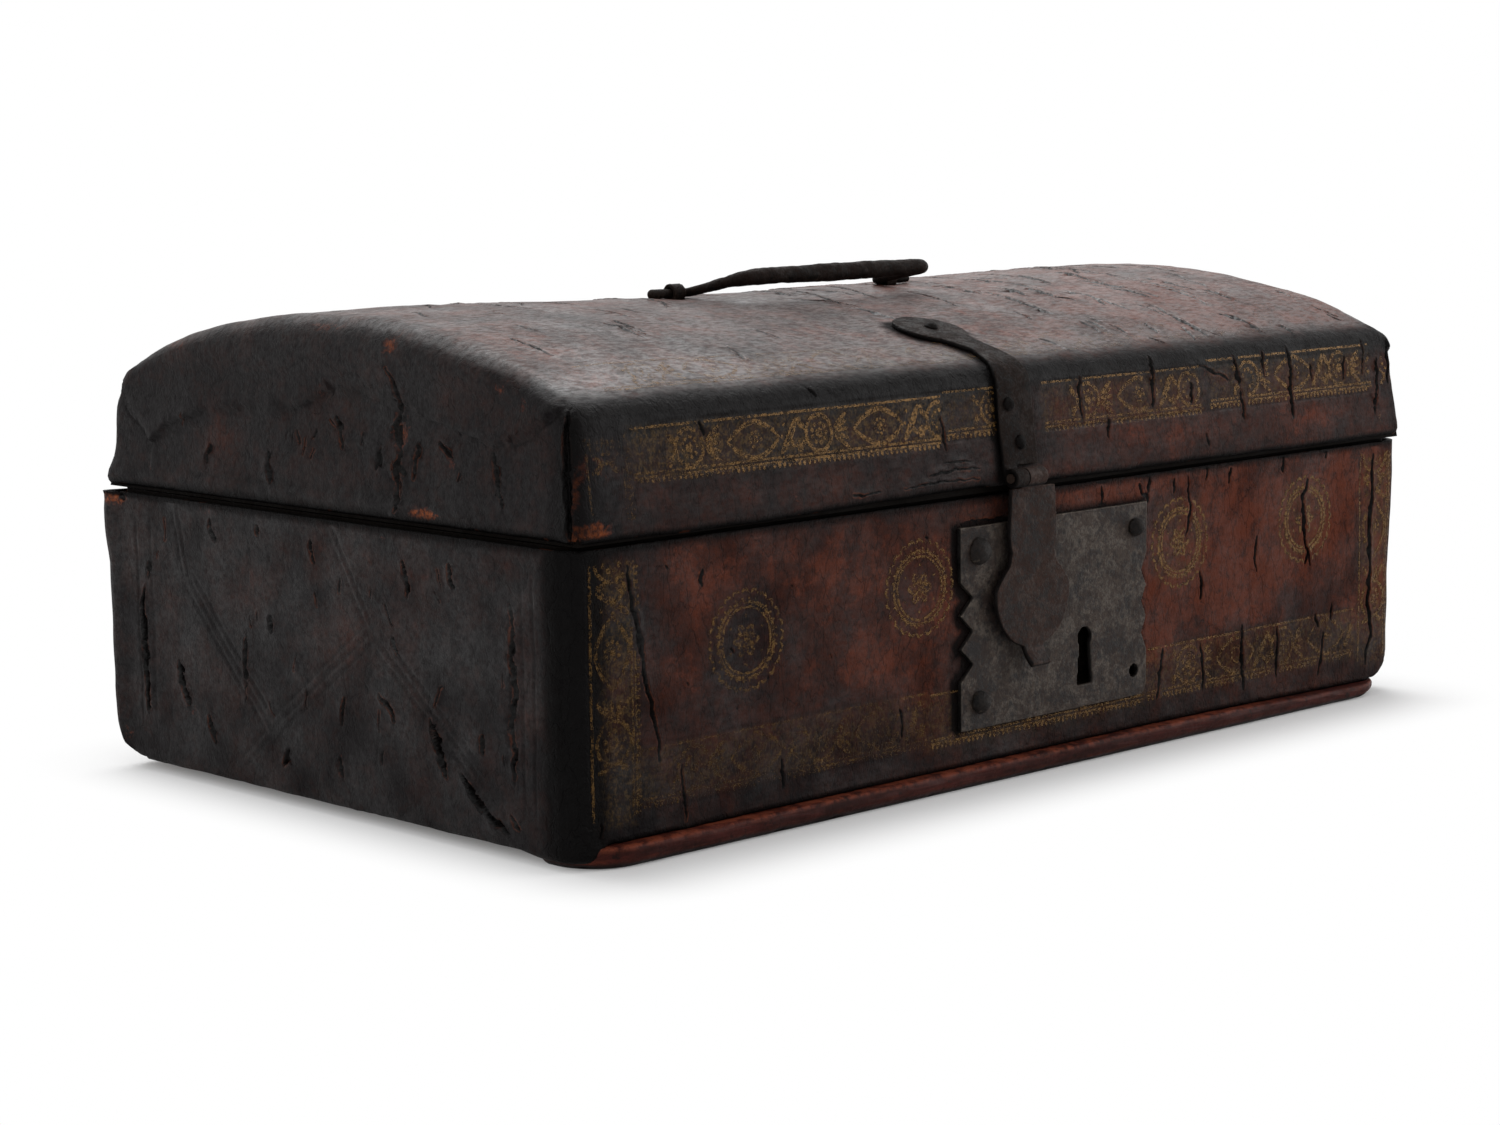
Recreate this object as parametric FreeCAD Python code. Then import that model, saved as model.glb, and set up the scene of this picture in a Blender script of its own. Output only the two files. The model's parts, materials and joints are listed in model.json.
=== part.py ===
import FreeCAD, Part
import os
from math import cos, hypot, pi, sin, sqrt

from FreeCAD import Vector

# Leather-covered document box with a low domed lid, an iron lock plate, a hinged hasp
# and an iron carrying handle. Millimetres, +Z up, +X to the right along the front.
# The origin is the centre of the footprint, on the surface that the box stands on.

# Driving sizes of the body, measured over the leather
box_length = 400.0
box_depth = 232.8
rim_height = 92.5
leather = 2.0
body_corner_radius = 9.0
skirt_clearance = 1.5
overrun = 20.0
tolerance = 1e-6

# Boards of the body
wall_board = 9.0
base_thickness = 6.5
base_front_step = 4.4
base_end_inset = 10.0
base_back_inset = 3.4
base_front_radius = 22.0
base_back_radius = 14.0
base_edge_round = 4.0
base_front_round = 1.0
board_rise = 1.1
lining = 0.8
lining_drop = 1.5

# Lid, measured over the leather
seam_gap = 2.5
board_gap = 0.3
eave_height = 32.0
crown_height = 57.4
crown_radius = 333.0
front_overhang = 3.1
back_overhang = 4.6
front_lean = 4.2
back_lean = 10.0
end_lean = 3.0
shoulder_radius = 9.0
lid_corner_radius = 5.0
lid_top_board = 6.0

# Lock plate on the front
plate_thickness = 1.6
plate_left = -39.5
plate_right = 53.0
plate_bottom = 18.2
plate_top_drop = 8.9
plate_corner_radius = 3.0
notch_count = 3
notch_top_inset = 17.4
notch_foot_inset = 15.9
left_notch_depth = 6.0
right_notch_depth = 2.7
empty_hole_radius = 2.2
plate_nail_inset_left = 8.6
plate_nail_inset_right = 6.5
plate_nail_drop = 8.0
plate_nail_rise = 8.8
plate_nail_head_radii = (4.8, 3.3, 4.0)

# Keyhole
keyhole_x = 21.0
keyhole_rise = 23.2
keyhole_radius = 3.5
keyhole_waist = 4.8
keyhole_foot = 7.8
keyhole_drop = 15.6

# Lock works in the mortise behind the plate
case_left = -24.0
case_right = 42.0
case_bottom_inset = 5.3
case_top_inset = 11.1
case_depth = 9.0
case_sheet = 1.2
bolt_height = 7.0
bolt_thickness = 3.0
bolt_length = 42.0
bolt_talon_width = 6.0
bolt_talon_depth = 2.2
running_gap = 0.4
guide_width = 4.0
guide_sheet = 1.2
spring_sheet = 0.8
spring_width = 3.0
spring_foot = 5.0

# Hasp
hasp_thickness = 1.9
hasp_standoff = 2.1
hasp_x = -9.0
hasp_disc_radius = 17.8
hasp_disc_drop = 32.2
stem_top_width = 20.9
stem_foot_width = 24.0
nose_width = 9.0
nose_drop = 5.5
nose_curl = 4.4
nose_tip_drop = 6.0
staple_wire_radius = 1.25
staple_end_radius = 1.6
staple_half_height = 5.4
staple_reach = 10.0
slot_clearance = 0.6
slot_drop = 2.2

# Hinge of the hasp
hasp_axis_rise = 3.0
hasp_axis_gap = 3.6
knuckle_radius = 3.1
pin_radius = 1.5
pin_clearance = 0.05
knuckle_gap = 0.4
strap_knuckle_left = -21.0
strap_knuckle_width = 5.8
hasp_knuckle_width = 8.6
stem_gap = 0.4

# Strap on the lid that carries the hasp
strap_thickness = 1.6
strap_left = -22.4
strap_width = 17.6
strap_foot_width = 16.4
pad_x = -13.2
pad_y = -81.0
pad_radius = 12.4
neck_x = -10.6
neck_y = -101.5
neck_width = 10.6
neck_flare = 13.0
pad_root_width_share = 0.55
pad_root_reach_share = 0.75
strap_nail_rises = (13.6, 26.0)
strap_nail_x = (-12.6, -16.6)
strap_nail_head_radius = 2.4

# Nails
nail_head_height = 1.8
nail_shank_radius = 1.1
nail_length = 9.0
joint_nail_radius = 1.0
joint_nail_head_radius = 2.0
joint_nail_head = 1.0
joint_nail_length = 26.0
joint_nail_sink = 0.6
joint_nail_margin = 0.5
corner_nail_rise = 15.5
corner_nail_drop = 15.6
corner_nail_count = 3
base_nail_spacing = 100.0
base_nail_count = 4
lid_nail_spacing = 50.0
lid_nail_count = 4

# Carrying handle on the crown of the lid
eye_x = 51.5
eye_width = 5.0
eye_band = 1.3
eye_gap = 0.3
eye_shank_x = 3.6
eye_shank_y = 2.6
eye_foot_length = 9.0
handle_lift = 1.9
tail_out = 11.5
tail_radius = 1.6
arm_x = 44.8
arm_radius = 1.9
elbow_radius = 3.2
corner_bend = 6.0
grip_reach = 27.6
grip_radius = 3.0
handle_rest_angle = 12.0
bend_steps = 5

# Hinges at the back
hinge_x = 118.0
hinge_width = 24.0
leaf_thickness = 1.6
lower_leaf_length = 42.0
upper_leaf_length = 29.4
joggle_height = 7.0
hinge_knuckle_radius = 3.2
hinge_nail_head_radius = 3.4
hinge_nail_first = 13.0
hinge_nail_pitch = 18.0

# Derived places
half_length = box_length / 2
half_depth = box_depth / 2
board_x = half_length - leather
board_y = half_depth - leather
inner_x = board_x - wall_board
inner_y = board_y - wall_board
board_top = rim_height + board_rise
lip_z = rim_height + seam_gap
lid_board_z = board_top + board_gap
crown_z = lip_z + crown_height
plate_top = rim_height - plate_top_drop
notch_start = plate_top - notch_top_inset
notch_pitch = (notch_start - plate_bottom - notch_foot_inset) / notch_count
keyhole_z = plate_bottom + keyhole_rise
case_bottom = plate_bottom + case_bottom_inset
case_top = plate_top - case_top_inset
hasp_disc_z = rim_height - hasp_disc_drop
hasp_axis_z = lip_z + hasp_axis_rise
crown_centre_z = crown_z - crown_radius
front_face = -half_depth
plate_face = front_face - plate_thickness
hasp_back = plate_face - hasp_standoff
hasp_face = hasp_back - hasp_thickness
lip_front = half_depth + front_overhang
lip_back = half_depth + back_overhang
hasp_axis_y = -lip_front + (hasp_axis_z - lip_z) * front_lean / eave_height - hasp_axis_gap
hinge_axis_y = lip_back + hinge_knuckle_radius
hinge_axis_z = (rim_height + lip_z) / 2
lid_inner_top = crown_z - leather - lid_top_board
handle_z = crown_z + handle_lift
bolt_back = front_face + running_gap + bolt_thickness
bolt_z = hasp_disc_z
bolt_rest_x = hasp_x + staple_wire_radius + slot_clearance + running_gap
slot_half_width = staple_wire_radius + slot_clearance
slot_bottom = hasp_disc_z - staple_half_height - staple_wire_radius - slot_drop
slot_back = hasp_back + staple_reach + slot_clearance


def box(x0, x1, y0, y1, z0, z1):
    """Block between two corners."""
    return Part.makeBox(x1 - x0, y1 - y0, z1 - z0, Vector(x0, y0, z0))


def cylinder(radius, start, end):
    """Round bar between two points."""
    axis = end.sub(start)
    return Part.makeCylinder(radius, axis.Length, start, axis)


def prism_x(points, x0, x1):
    """Prism along X from outline points given as (y, z)."""
    corners = [Vector(x0, y, z) for y, z in points]
    return Part.Face(Part.makePolygon(corners + corners[:1])).extrude(Vector(x1 - x0, 0, 0))


def prism_y(points, y0, y1):
    """Prism along Y from outline points given as (x, z)."""
    corners = [Vector(x, y0, z) for x, z in points]
    return Part.Face(Part.makePolygon(corners + corners[:1])).extrude(Vector(0, y1 - y0, 0))


def fuse(first, *others):
    """One clean solid from pieces that meet."""
    return first.fuse(list(others)).removeSplitter()


def rounded_block(x_half, y_front, y_back, r_front, r_back, z0, z1):
    """Upright block with rounded vertical corners."""
    block = box(-x_half, x_half, y_front, y_back, z0, z1)
    upright = [edge for edge in block.Edges if abs(edge.tangentAt(0).z) > 1 - tolerance]
    front = [edge for edge in upright if edge.CenterOfMass.y < (y_front + y_back) / 2]
    back = [edge for edge in upright if edge.CenterOfMass.y > (y_front + y_back) / 2]
    block = block.makeFillet(r_front, front)
    back = [edge for edge in block.Edges if abs(edge.tangentAt(0).z) > 1 - tolerance
            and edge.CenterOfMass.y > y_back - r_back / 2 and abs(edge.CenterOfMass.x) > x_half - r_back / 2]
    return block.makeFillet(r_back, back)


def wall_y(side, inset, z):
    """Y of the lid's front (side -1) or back (side 1) wall at a height, set in by inset."""
    lip = lip_front if side < 0 else lip_back
    slope = (front_lean if side < 0 else back_lean) / eave_height
    return side * (lip - slope * (z - lip_z) - inset * sqrt(1 + slope * slope))


def wall_meets_crown(side, inset):
    """Height where the lid's wall meets the crown, both set in by inset."""
    slope = (front_lean if side < 0 else back_lean) / eave_height
    base = abs(wall_y(side, inset, crown_centre_z))
    radius = crown_radius - inset
    a = 1 + slope * slope
    b = -2 * slope * base
    c = base * base - radius * radius
    return crown_centre_z + (-b + sqrt(b * b - 4 * a * c)) / (2 * a)


def crown_at(y, inset=0.0):
    """Height of the crown above a place across the lid."""
    radius = crown_radius - inset
    return crown_centre_z + sqrt(radius * radius - y * y)


def lid_block(inset, bottom):
    """Solid filling the lid from its bottom up to the crown, all faces set in by inset."""
    front_top = wall_meets_crown(-1, inset)
    back_top = wall_meets_crown(1, inset)
    x = half_length
    front_low = Vector(-x, wall_y(-1, inset, bottom), bottom)
    front_high = Vector(-x, wall_y(-1, inset, front_top), front_top)
    back_high = Vector(-x, wall_y(1, inset, back_top), back_top)
    back_low = Vector(-x, wall_y(1, inset, bottom), bottom)
    crown = Part.Arc(front_high, Vector(-x, 0, crown_z - inset), back_high).toShape()
    edges = [Part.makeLine(front_low, front_high), crown, Part.makeLine(back_high, back_low),
             Part.makeLine(back_low, front_low)]
    block = Part.Face(Part.Wire(edges)).extrude(Vector(2 * x, 0, 0))
    slope = end_lean / eave_height
    low_x = half_length - inset - slope * (bottom - lip_z)
    high = crown_z + overrun
    high_x = half_length - inset - slope * (high - lip_z)
    ends = prism_y([(-low_x, bottom), (low_x, bottom), (high_x, high), (-high_x, high)],
                   -lip_back - overrun, lip_back + overrun)
    block = block.common(ends)
    shoulders = [edge for edge in block.Edges
                 if edge.CenterOfMass.z > lip_z + eave_height / 2 and abs(edge.CenterOfMass.x) < leather
                 and edge.BoundBox.XLength > box_length / 2]
    block = block.makeFillet(shoulder_radius - inset, shoulders)
    return block


def rounded_lid(bottom):
    """Outer shape of the lid with its end edges rounded over."""
    block = lid_block(0.0, bottom)
    ends = []
    for edge in block.Edges:
        middle = edge.CenterOfMass
        on_end = abs(middle.x) > half_length - 2 * end_lean - overrun / 2
        if on_end and middle.z > bottom + leather / 2 and edge.BoundBox.XLength < 2 * end_lean:
            ends.append(edge)
    return block.makeFillet(lid_corner_radius, ends)


def nail(seat, outward, head_radius, length):
    """Hand-made nail with a low domed head whose underside lies at seat."""
    outward = Vector(outward).normalize()
    dome_radius = (head_radius * head_radius + nail_head_height * nail_head_height) / (2 * nail_head_height)
    dome = Part.makeSphere(dome_radius, seat.add(outward * (nail_head_height - dome_radius)))
    keep = Part.makeCylinder(2 * head_radius, 2 * nail_head_height, seat, outward)
    shank_top = seat.add(outward * (nail_head_height / 2))
    shank = cylinder(nail_shank_radius, shank_top, seat.sub(outward * length))
    return fuse(dome.common(keep), shank)


def joint_nail(seat, outward):
    """Flat-headed nail that holds two boards, sunk a little below the face at seat."""
    outward = Vector(outward).normalize()
    top = seat.sub(outward * joint_nail_sink)
    head = cylinder(joint_nail_head_radius, top.sub(outward * joint_nail_head), top)
    shank = cylinder(joint_nail_radius, top.sub(outward * joint_nail_length), top)
    return fuse(head, shank)


def drive(nails, *layers):
    """The layers with the nails' holes cut."""
    return [layer.cut(nails) for layer in layers]


def strip(points, thickness):
    """Outline of a bent sheet: points run along one face, the other lies to their left."""
    directions = [(points[i + 1][0] - points[i][0], points[i + 1][1] - points[i][1])
                  for i in range(len(points) - 1)]
    normals = [(-v / hypot(u, v), u / hypot(u, v)) for u, v in directions]
    other = []
    for i, (a, b) in enumerate(points):
        before = normals[max(i - 1, 0)]
        after = normals[min(i, len(normals) - 1)]
        share = thickness / (1 + before[0] * after[0] + before[1] * after[1])
        other.append((a + (before[0] + after[0]) * share, b + (before[1] + after[1]) * share))
    return points + other[::-1]


def base_board():
    """Board under the box; its front edge stands out past the leather."""
    board = rounded_block(half_length - base_end_inset, front_face - base_front_step,
                          half_depth - base_back_inset, base_front_radius, base_back_radius,
                          0.0, base_thickness)
    top_front = [edge for edge in board.Edges if abs(edge.CenterOfMass.z - base_thickness) < tolerance
                 and edge.CenterOfMass.y < front_face + base_front_radius]
    board = board.makeFillet(base_front_round, top_front)
    low_back = [edge for edge in board.Edges if abs(edge.CenterOfMass.z) < tolerance
                and edge.CenterOfMass.y > half_depth - base_back_inset - base_back_radius]
    return board.makeFillet(base_edge_round, low_back)


def body_boards():
    """Front, back, left and right boards of the body."""
    carcase = rounded_block(board_x, -board_y, board_y, body_corner_radius - leather,
                            body_corner_radius - leather, base_thickness, board_top)
    far_x = half_length + overrun
    far_y = half_depth + overrun
    high = board_top + overrun
    front = carcase.common(box(-far_x, far_x, -far_y, -inner_y, 0, high))
    back = carcase.common(box(-far_x, far_x, inner_y, far_y, 0, high))
    left = carcase.common(box(-far_x, -inner_x, -inner_y, inner_y, 0, high))
    right = carcase.common(box(inner_x, far_x, -inner_y, inner_y, 0, high))
    return front, back, left, right


def body_leather(base):
    """Leather skin round the body; it wraps down past the base board at the ends and back."""
    skin = rounded_block(half_length, front_face, half_depth, body_corner_radius, body_corner_radius,
                         skirt_clearance, rim_height)
    low_back = [edge for edge in skin.Edges if abs(edge.CenterOfMass.z - skirt_clearance) < tolerance
                and edge.CenterOfMass.y > half_depth - body_corner_radius]
    skin = skin.makeFillet(base_edge_round, low_back)
    core = rounded_block(board_x, -board_y, board_y, body_corner_radius - leather,
                         body_corner_radius - leather, base_thickness, board_top)
    foot_x = half_length - base_end_inset - base_front_radius
    foot = box(-foot_x, foot_x, front_face - overrun, front_face + base_front_radius, 0, base_thickness)
    return skin.cut(core).cut(base).cut(foot)


def body_lining():
    """Paper lining on the floor and inner walls of the body."""
    outer = box(-inner_x, inner_x, -inner_y, inner_y, base_thickness, board_top - lining_drop)
    inner = box(-inner_x + lining, inner_x - lining, -inner_y + lining, inner_y - lining,
                base_thickness + lining, board_top)
    return outer.cut(inner)


def lid_boards():
    """Bent top board, front and back rails and the two arched ends of the lid."""
    block = lid_block(leather, lid_board_z)
    far_x = half_length + overrun
    under = Part.makeCylinder(crown_radius - leather - lid_top_board, 2 * far_x,
                              Vector(-far_x, 0, crown_centre_z), Vector(1, 0, 0))
    top = block.cut(under)
    frame = block.common(under)
    rail = leather + wall_board
    high = crown_z + overrun
    low = lid_board_z - overrun
    middle = prism_x([(wall_y(-1, rail, low), low), (wall_y(1, rail, low), low),
                      (wall_y(1, rail, high), high), (wall_y(-1, rail, high), high)], -far_x, far_x)
    rails = frame.cut(middle)
    far_y = half_depth + overrun
    front = rails.common(box(-far_x, far_x, -far_y, 0, low, high))
    back = rails.common(box(-far_x, far_x, 0, far_y, low, high))
    ends = frame.common(middle)
    left = ends.common(box(-far_x, -inner_x, -far_y, far_y, low, high))
    right = ends.common(box(inner_x, far_x, -far_y, far_y, low, high))
    return top, front, back, left, right


def lid_leather():
    """Leather skin over the lid."""
    return rounded_lid(lip_z).cut(lid_block(leather, lid_board_z))


def lid_hollow(inset, x_half, bottom):
    """Space under the top board and between the rails, set in by inset."""
    far = half_depth + overrun
    under = Part.makeCylinder(crown_radius - leather - lid_top_board - inset, 2 * x_half,
                              Vector(-x_half, 0, crown_centre_z), Vector(1, 0, 0))
    rail = leather + wall_board + inset
    high = crown_z + overrun
    walls = prism_x([(wall_y(-1, rail, bottom), bottom), (wall_y(1, rail, bottom), bottom),
                     (wall_y(1, rail, high), high), (wall_y(-1, rail, high), high)], -x_half, x_half)
    return walls.common(under).common(box(-x_half, x_half, -far, far, bottom, high))


def lid_lining():
    """Paper lining inside the lid."""
    bottom = lid_board_z + lining_drop
    return lid_hollow(0.0, inner_x, bottom).cut(lid_hollow(lining, inner_x - lining, bottom - overrun))


def notched_edge(x, depth, inward):
    """Points down one side edge of the lock plate, with its row of notches."""
    points = []
    for i in range(notch_count):
        top = notch_start - i * notch_pitch
        points.append((x, top))
        points.append((x + inward * depth, top - notch_pitch / 2))
    points.append((x, notch_start - notch_count * notch_pitch))
    return points


def keyhole(y0, y1):
    """Keyhole shape: a round top over a slot that widens downwards."""
    foot = keyhole_z - keyhole_drop
    slot = prism_y([(keyhole_x - keyhole_waist / 2, keyhole_z), (keyhole_x + keyhole_waist / 2, keyhole_z),
                    (keyhole_x + keyhole_foot / 2, foot), (keyhole_x - keyhole_foot / 2, foot)], y0, y1)
    top = cylinder(keyhole_radius, Vector(keyhole_x, y0, keyhole_z), Vector(keyhole_x, y1, keyhole_z))
    return fuse(slot, top)


def staple_slot():
    """Slot, open at the top, that the hasp's staple drops into."""
    return box(hasp_x - slot_half_width, hasp_x + slot_half_width, plate_face - overrun, slot_back,
               slot_bottom, rim_height + overrun)


def plate_nail_places():
    """Seats of the three nails that are left in the lock plate."""
    left = plate_left + plate_nail_inset_left
    right = plate_right - plate_nail_inset_right
    top = plate_top - plate_nail_drop
    low = plate_bottom + plate_nail_rise
    return [(left, top), (right, top), (left, low)], (right, low)


def lock_plate():
    """Iron plate with notched sides, keyhole and the empty hole of its fourth nail."""
    right = notched_edge(plate_right, right_notch_depth, -1)
    left = notched_edge(plate_left, left_notch_depth, 1)
    outline = [(plate_left, plate_top), (plate_right, plate_top)] + right
    outline += [(plate_right, plate_bottom), (plate_left, plate_bottom)] + left[::-1]
    plate = prism_y(outline, plate_face, front_face)
    corner = [edge for edge in plate.Edges if abs(edge.tangentAt(0).y) > 1 - tolerance
              and edge.CenterOfMass.x > plate_right - notch_pitch / 4
              and edge.CenterOfMass.z < plate_bottom + notch_pitch / 4]
    plate = plate.makeFillet(plate_corner_radius, corner)
    x, z = plate_nail_places()[1]
    hole = cylinder(empty_hole_radius, Vector(x, plate_face - overrun, z), Vector(x, front_face + overrun, z))
    return plate.cut([keyhole(plate_face - overrun, front_face + overrun), hole, staple_slot()])


def lock_mortise():
    """Space cut in the front wall for the lock works."""
    return box(case_left, case_right, front_face - overrun, front_face + case_depth, case_bottom, case_top)


def lock_case():
    """Shallow iron tray behind the plate, open towards it."""
    outer = box(case_left, case_right, front_face, front_face + case_depth, case_bottom, case_top)
    inner = box(case_left + case_sheet, case_right - case_sheet, front_face - overrun,
                front_face + case_depth - case_sheet, case_bottom + case_sheet, case_top - case_sheet)
    return outer.cut([inner, staple_slot()])


def lock_bolt():
    """Sliding bolt, drawn back clear of the staple, with a talon for the key."""
    bar = box(bolt_rest_x, bolt_rest_x + bolt_length, bolt_back - bolt_thickness, bolt_back,
              bolt_z - bolt_height / 2, bolt_z + bolt_height / 2)
    talon = box(keyhole_x - bolt_talon_width / 2, keyhole_x + bolt_talon_width / 2,
                bolt_back - bolt_thickness - overrun, bolt_back + overrun,
                bolt_z - bolt_height / 2 - overrun, bolt_z - bolt_height / 2 + bolt_talon_depth)
    return bar.cut(talon)


def bolt_guides():
    """Two sheet staples on the back of the case that the bolt runs through."""
    guides = []
    low = bolt_z - bolt_height / 2 - running_gap
    high = bolt_z + bolt_height / 2 + running_gap
    back = front_face + case_depth - case_sheet
    for x in (bolt_rest_x + 2 * guide_width, bolt_rest_x + bolt_length - 2 * guide_width):
        x0 = x - guide_width / 2
        x1 = x + guide_width / 2
        cheek_low = box(x0, x1, bolt_back - bolt_thickness, back, low - guide_sheet, low)
        cheek_high = box(x0, x1, bolt_back - bolt_thickness, back, high, high + guide_sheet)
        floor = box(x0, x1, bolt_back + running_gap, bolt_back + running_gap + guide_sheet, low, high)
        guides.append(fuse(cheek_low, cheek_high, floor))
    return guides


def bolt_spring():
    """Leaf spring that bears on the top edge of the bolt."""
    seat = bolt_z + bolt_height / 2 + running_gap
    left = bolt_rest_x + 3 * guide_width + running_gap
    right = bolt_rest_x + bolt_length - 4 * guide_width
    top = case_top - case_sheet
    outline = strip([(left + spring_foot, seat + running_gap), (right, top - spring_sheet),
                     (case_right - case_sheet, top - spring_sheet)], spring_sheet)
    y1 = bolt_back
    return prism_y(outline, y1 - spring_width, y1)


def knuckle(x0, x1, y, z, radius):
    """Rolled end of a hinge leaf, without its bore."""
    return cylinder(radius, Vector(x0, y, z), Vector(x1, y, z))


def bore(x0, x1, y, z):
    """Bore through hinge knuckles."""
    return cylinder(pin_radius + pin_clearance, Vector(x0 - overrun, y, z), Vector(x1 + overrun, y, z))


def strap_nails():
    """One nail through the strap's pad and two in its front."""
    y = pad_y
    outward = Vector(0, y, crown_at(y) - crown_centre_z)
    nails = [nail(Vector(pad_x, y * (1 + strap_thickness / crown_radius),
                         crown_at(y) + strap_thickness * outward.z / outward.Length),
                  outward, strap_nail_head_radius, nail_length)]
    slope = front_lean / eave_height
    lean = sqrt(1 + slope * slope)
    for x, rise in zip(strap_nail_x, strap_nail_rises):
        z = lip_z + rise
        seat = Vector(x, wall_y(-1, 0.0, z) - strap_thickness / lean, z + strap_thickness * slope / lean)
        nails.append(nail(seat, Vector(0, -1, slope), strap_nail_head_radius, nail_length))
    return nails


def strap_plan():
    """Plan outline of the strap on the crown: round pad, narrow neck, wide foot."""
    pad = cylinder(pad_radius, Vector(pad_x, pad_y, lip_z), Vector(pad_x, pad_y, crown_z + overrun))
    flare_y = neck_y - neck_flare
    half = neck_width / 2
    root = pad_radius * pad_root_width_share
    root_y = pad_y - pad_radius * pad_root_reach_share
    body = [(neck_x - half, neck_y), (neck_x - half - strap_width / 4, flare_y), (strap_left, flare_y - half),
            (strap_left - overrun, flare_y - half), (strap_left - overrun, front_face - 2 * overrun),
            (strap_left + strap_width + overrun, front_face - 2 * overrun),
            (strap_left + strap_width + overrun, flare_y - half), (strap_left + strap_width, flare_y - half),
            (neck_x + half, neck_y), (pad_x + root, root_y), (pad_x - root, root_y)]
    corners = [Vector(x, y, lip_z) for x, y in body]
    foot = Part.Face(Part.makePolygon(corners + corners[:1])).extrude(Vector(0, 0, crown_height + overrun))
    return fuse(pad, foot)


def hasp_strap():
    """Strap that is nailed over the lid's edge and ends in half of the hasp's hinge."""
    x0 = strap_left - overrun
    x1 = strap_left + strap_width + overrun
    bottom = hasp_axis_z
    shell = lid_block(-strap_thickness, bottom).cut(lid_block(0.0, bottom - overrun))
    band = shell.common(box(x0, x1, -half_depth - 2 * overrun, pad_y + pad_radius + overrun,
                            bottom, crown_z + overrun))
    cut_z = hasp_axis_z + knuckle_radius + knuckle_gap
    foot_left = strap_knuckle_left
    knuckle_right = strap_knuckle_left + strap_knuckle_width
    high = crown_z + overrun
    eave = lip_z + eave_height
    front = prism_y([(foot_left, bottom), (knuckle_right, bottom), (knuckle_right, cut_z),
                     (foot_left + strap_foot_width, cut_z), (strap_left + strap_width, eave),
                     (x1, eave), (x1, high), (x0, high), (x0, eave), (strap_left, eave)],
                    -half_depth - 2 * overrun, 0)
    strap = band.common(front).common(strap_plan())
    roll = knuckle(foot_left, knuckle_right, hasp_axis_y, hasp_axis_z, knuckle_radius)
    return fuse(strap, roll).cut(bore(foot_left, knuckle_right, hasp_axis_y, hasp_axis_z))


def hasp_pin():
    """Pin of the hasp's hinge."""
    left = strap_knuckle_left - knuckle_gap
    right = strap_knuckle_left + strap_knuckle_width + knuckle_gap + hasp_knuckle_width + knuckle_gap
    start = Vector(left, hasp_axis_y, hasp_axis_z)
    return cylinder(pin_radius, start, Vector(right, hasp_axis_y, hasp_axis_z))


def hasp():
    """Hasp with a straight stem, a round disc and a curled nose."""
    stem_top = hasp_axis_z - knuckle_radius - stem_gap
    disc = cylinder(hasp_disc_radius, Vector(hasp_x, hasp_face, hasp_disc_z),
                    Vector(hasp_x, hasp_back, hasp_disc_z))
    stem = prism_y([(hasp_x - stem_top_width / 2, stem_top), (hasp_x + stem_top_width / 2, stem_top),
                    (hasp_x + stem_foot_width / 2, hasp_disc_z + hasp_disc_radius / 2),
                    (hasp_x - stem_foot_width / 2, hasp_disc_z + hasp_disc_radius / 2)], hasp_face, hasp_back)
    x0 = strap_knuckle_left + strap_knuckle_width + knuckle_gap
    x1 = x0 + hasp_knuckle_width
    tongue = box(x0, x1, hasp_face, hasp_back, stem_top - stem_gap, hasp_axis_z)
    roll = knuckle(x0, x1, hasp_axis_y, hasp_axis_z, knuckle_radius)
    disc_foot = hasp_disc_z - hasp_disc_radius
    curl = strip([(hasp_back, disc_foot + nose_drop), (hasp_back, disc_foot),
                  (hasp_back - nose_curl / 3, disc_foot - nose_drop / 2),
                  (hasp_back - nose_curl, disc_foot - nose_tip_drop)], -hasp_thickness)
    nose = prism_x(curl, hasp_x - nose_width / 2, hasp_x + nose_width / 2)
    whole = fuse(disc, stem, tongue, roll, nose)
    return whole.cut(bore(x0, x1, hasp_axis_y, hasp_axis_z))


def hasp_staple():
    """Loop on the back of the hasp that the bolt passes through."""
    inner = hasp_back + staple_reach - staple_wire_radius
    low = hasp_disc_z - staple_half_height
    high = hasp_disc_z + staple_half_height
    turn = inner - staple_end_radius
    path = [Part.makeLine(Vector(hasp_x, hasp_face, low), Vector(hasp_x, turn, low))]
    bend = staple_end_radius * (1 - sqrt(0.5))
    path.append(Part.Arc(Vector(hasp_x, turn, low), Vector(hasp_x, inner - bend, low + bend),
                         Vector(hasp_x, inner, low + staple_end_radius)).toShape())
    path.append(Part.makeLine(Vector(hasp_x, inner, low + staple_end_radius),
                              Vector(hasp_x, inner, high - staple_end_radius)))
    path.append(Part.Arc(Vector(hasp_x, inner, high - staple_end_radius),
                         Vector(hasp_x, inner - bend, high - bend), Vector(hasp_x, turn, high)).toShape())
    path.append(Part.makeLine(Vector(hasp_x, turn, high), Vector(hasp_x, hasp_face, high)))
    ring = Part.Wire(Part.makeCircle(staple_wire_radius, Vector(hasp_x, hasp_face, low), Vector(0, 1, 0)))
    return Part.Wire(path).makePipeShell([ring], True, False)


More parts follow.
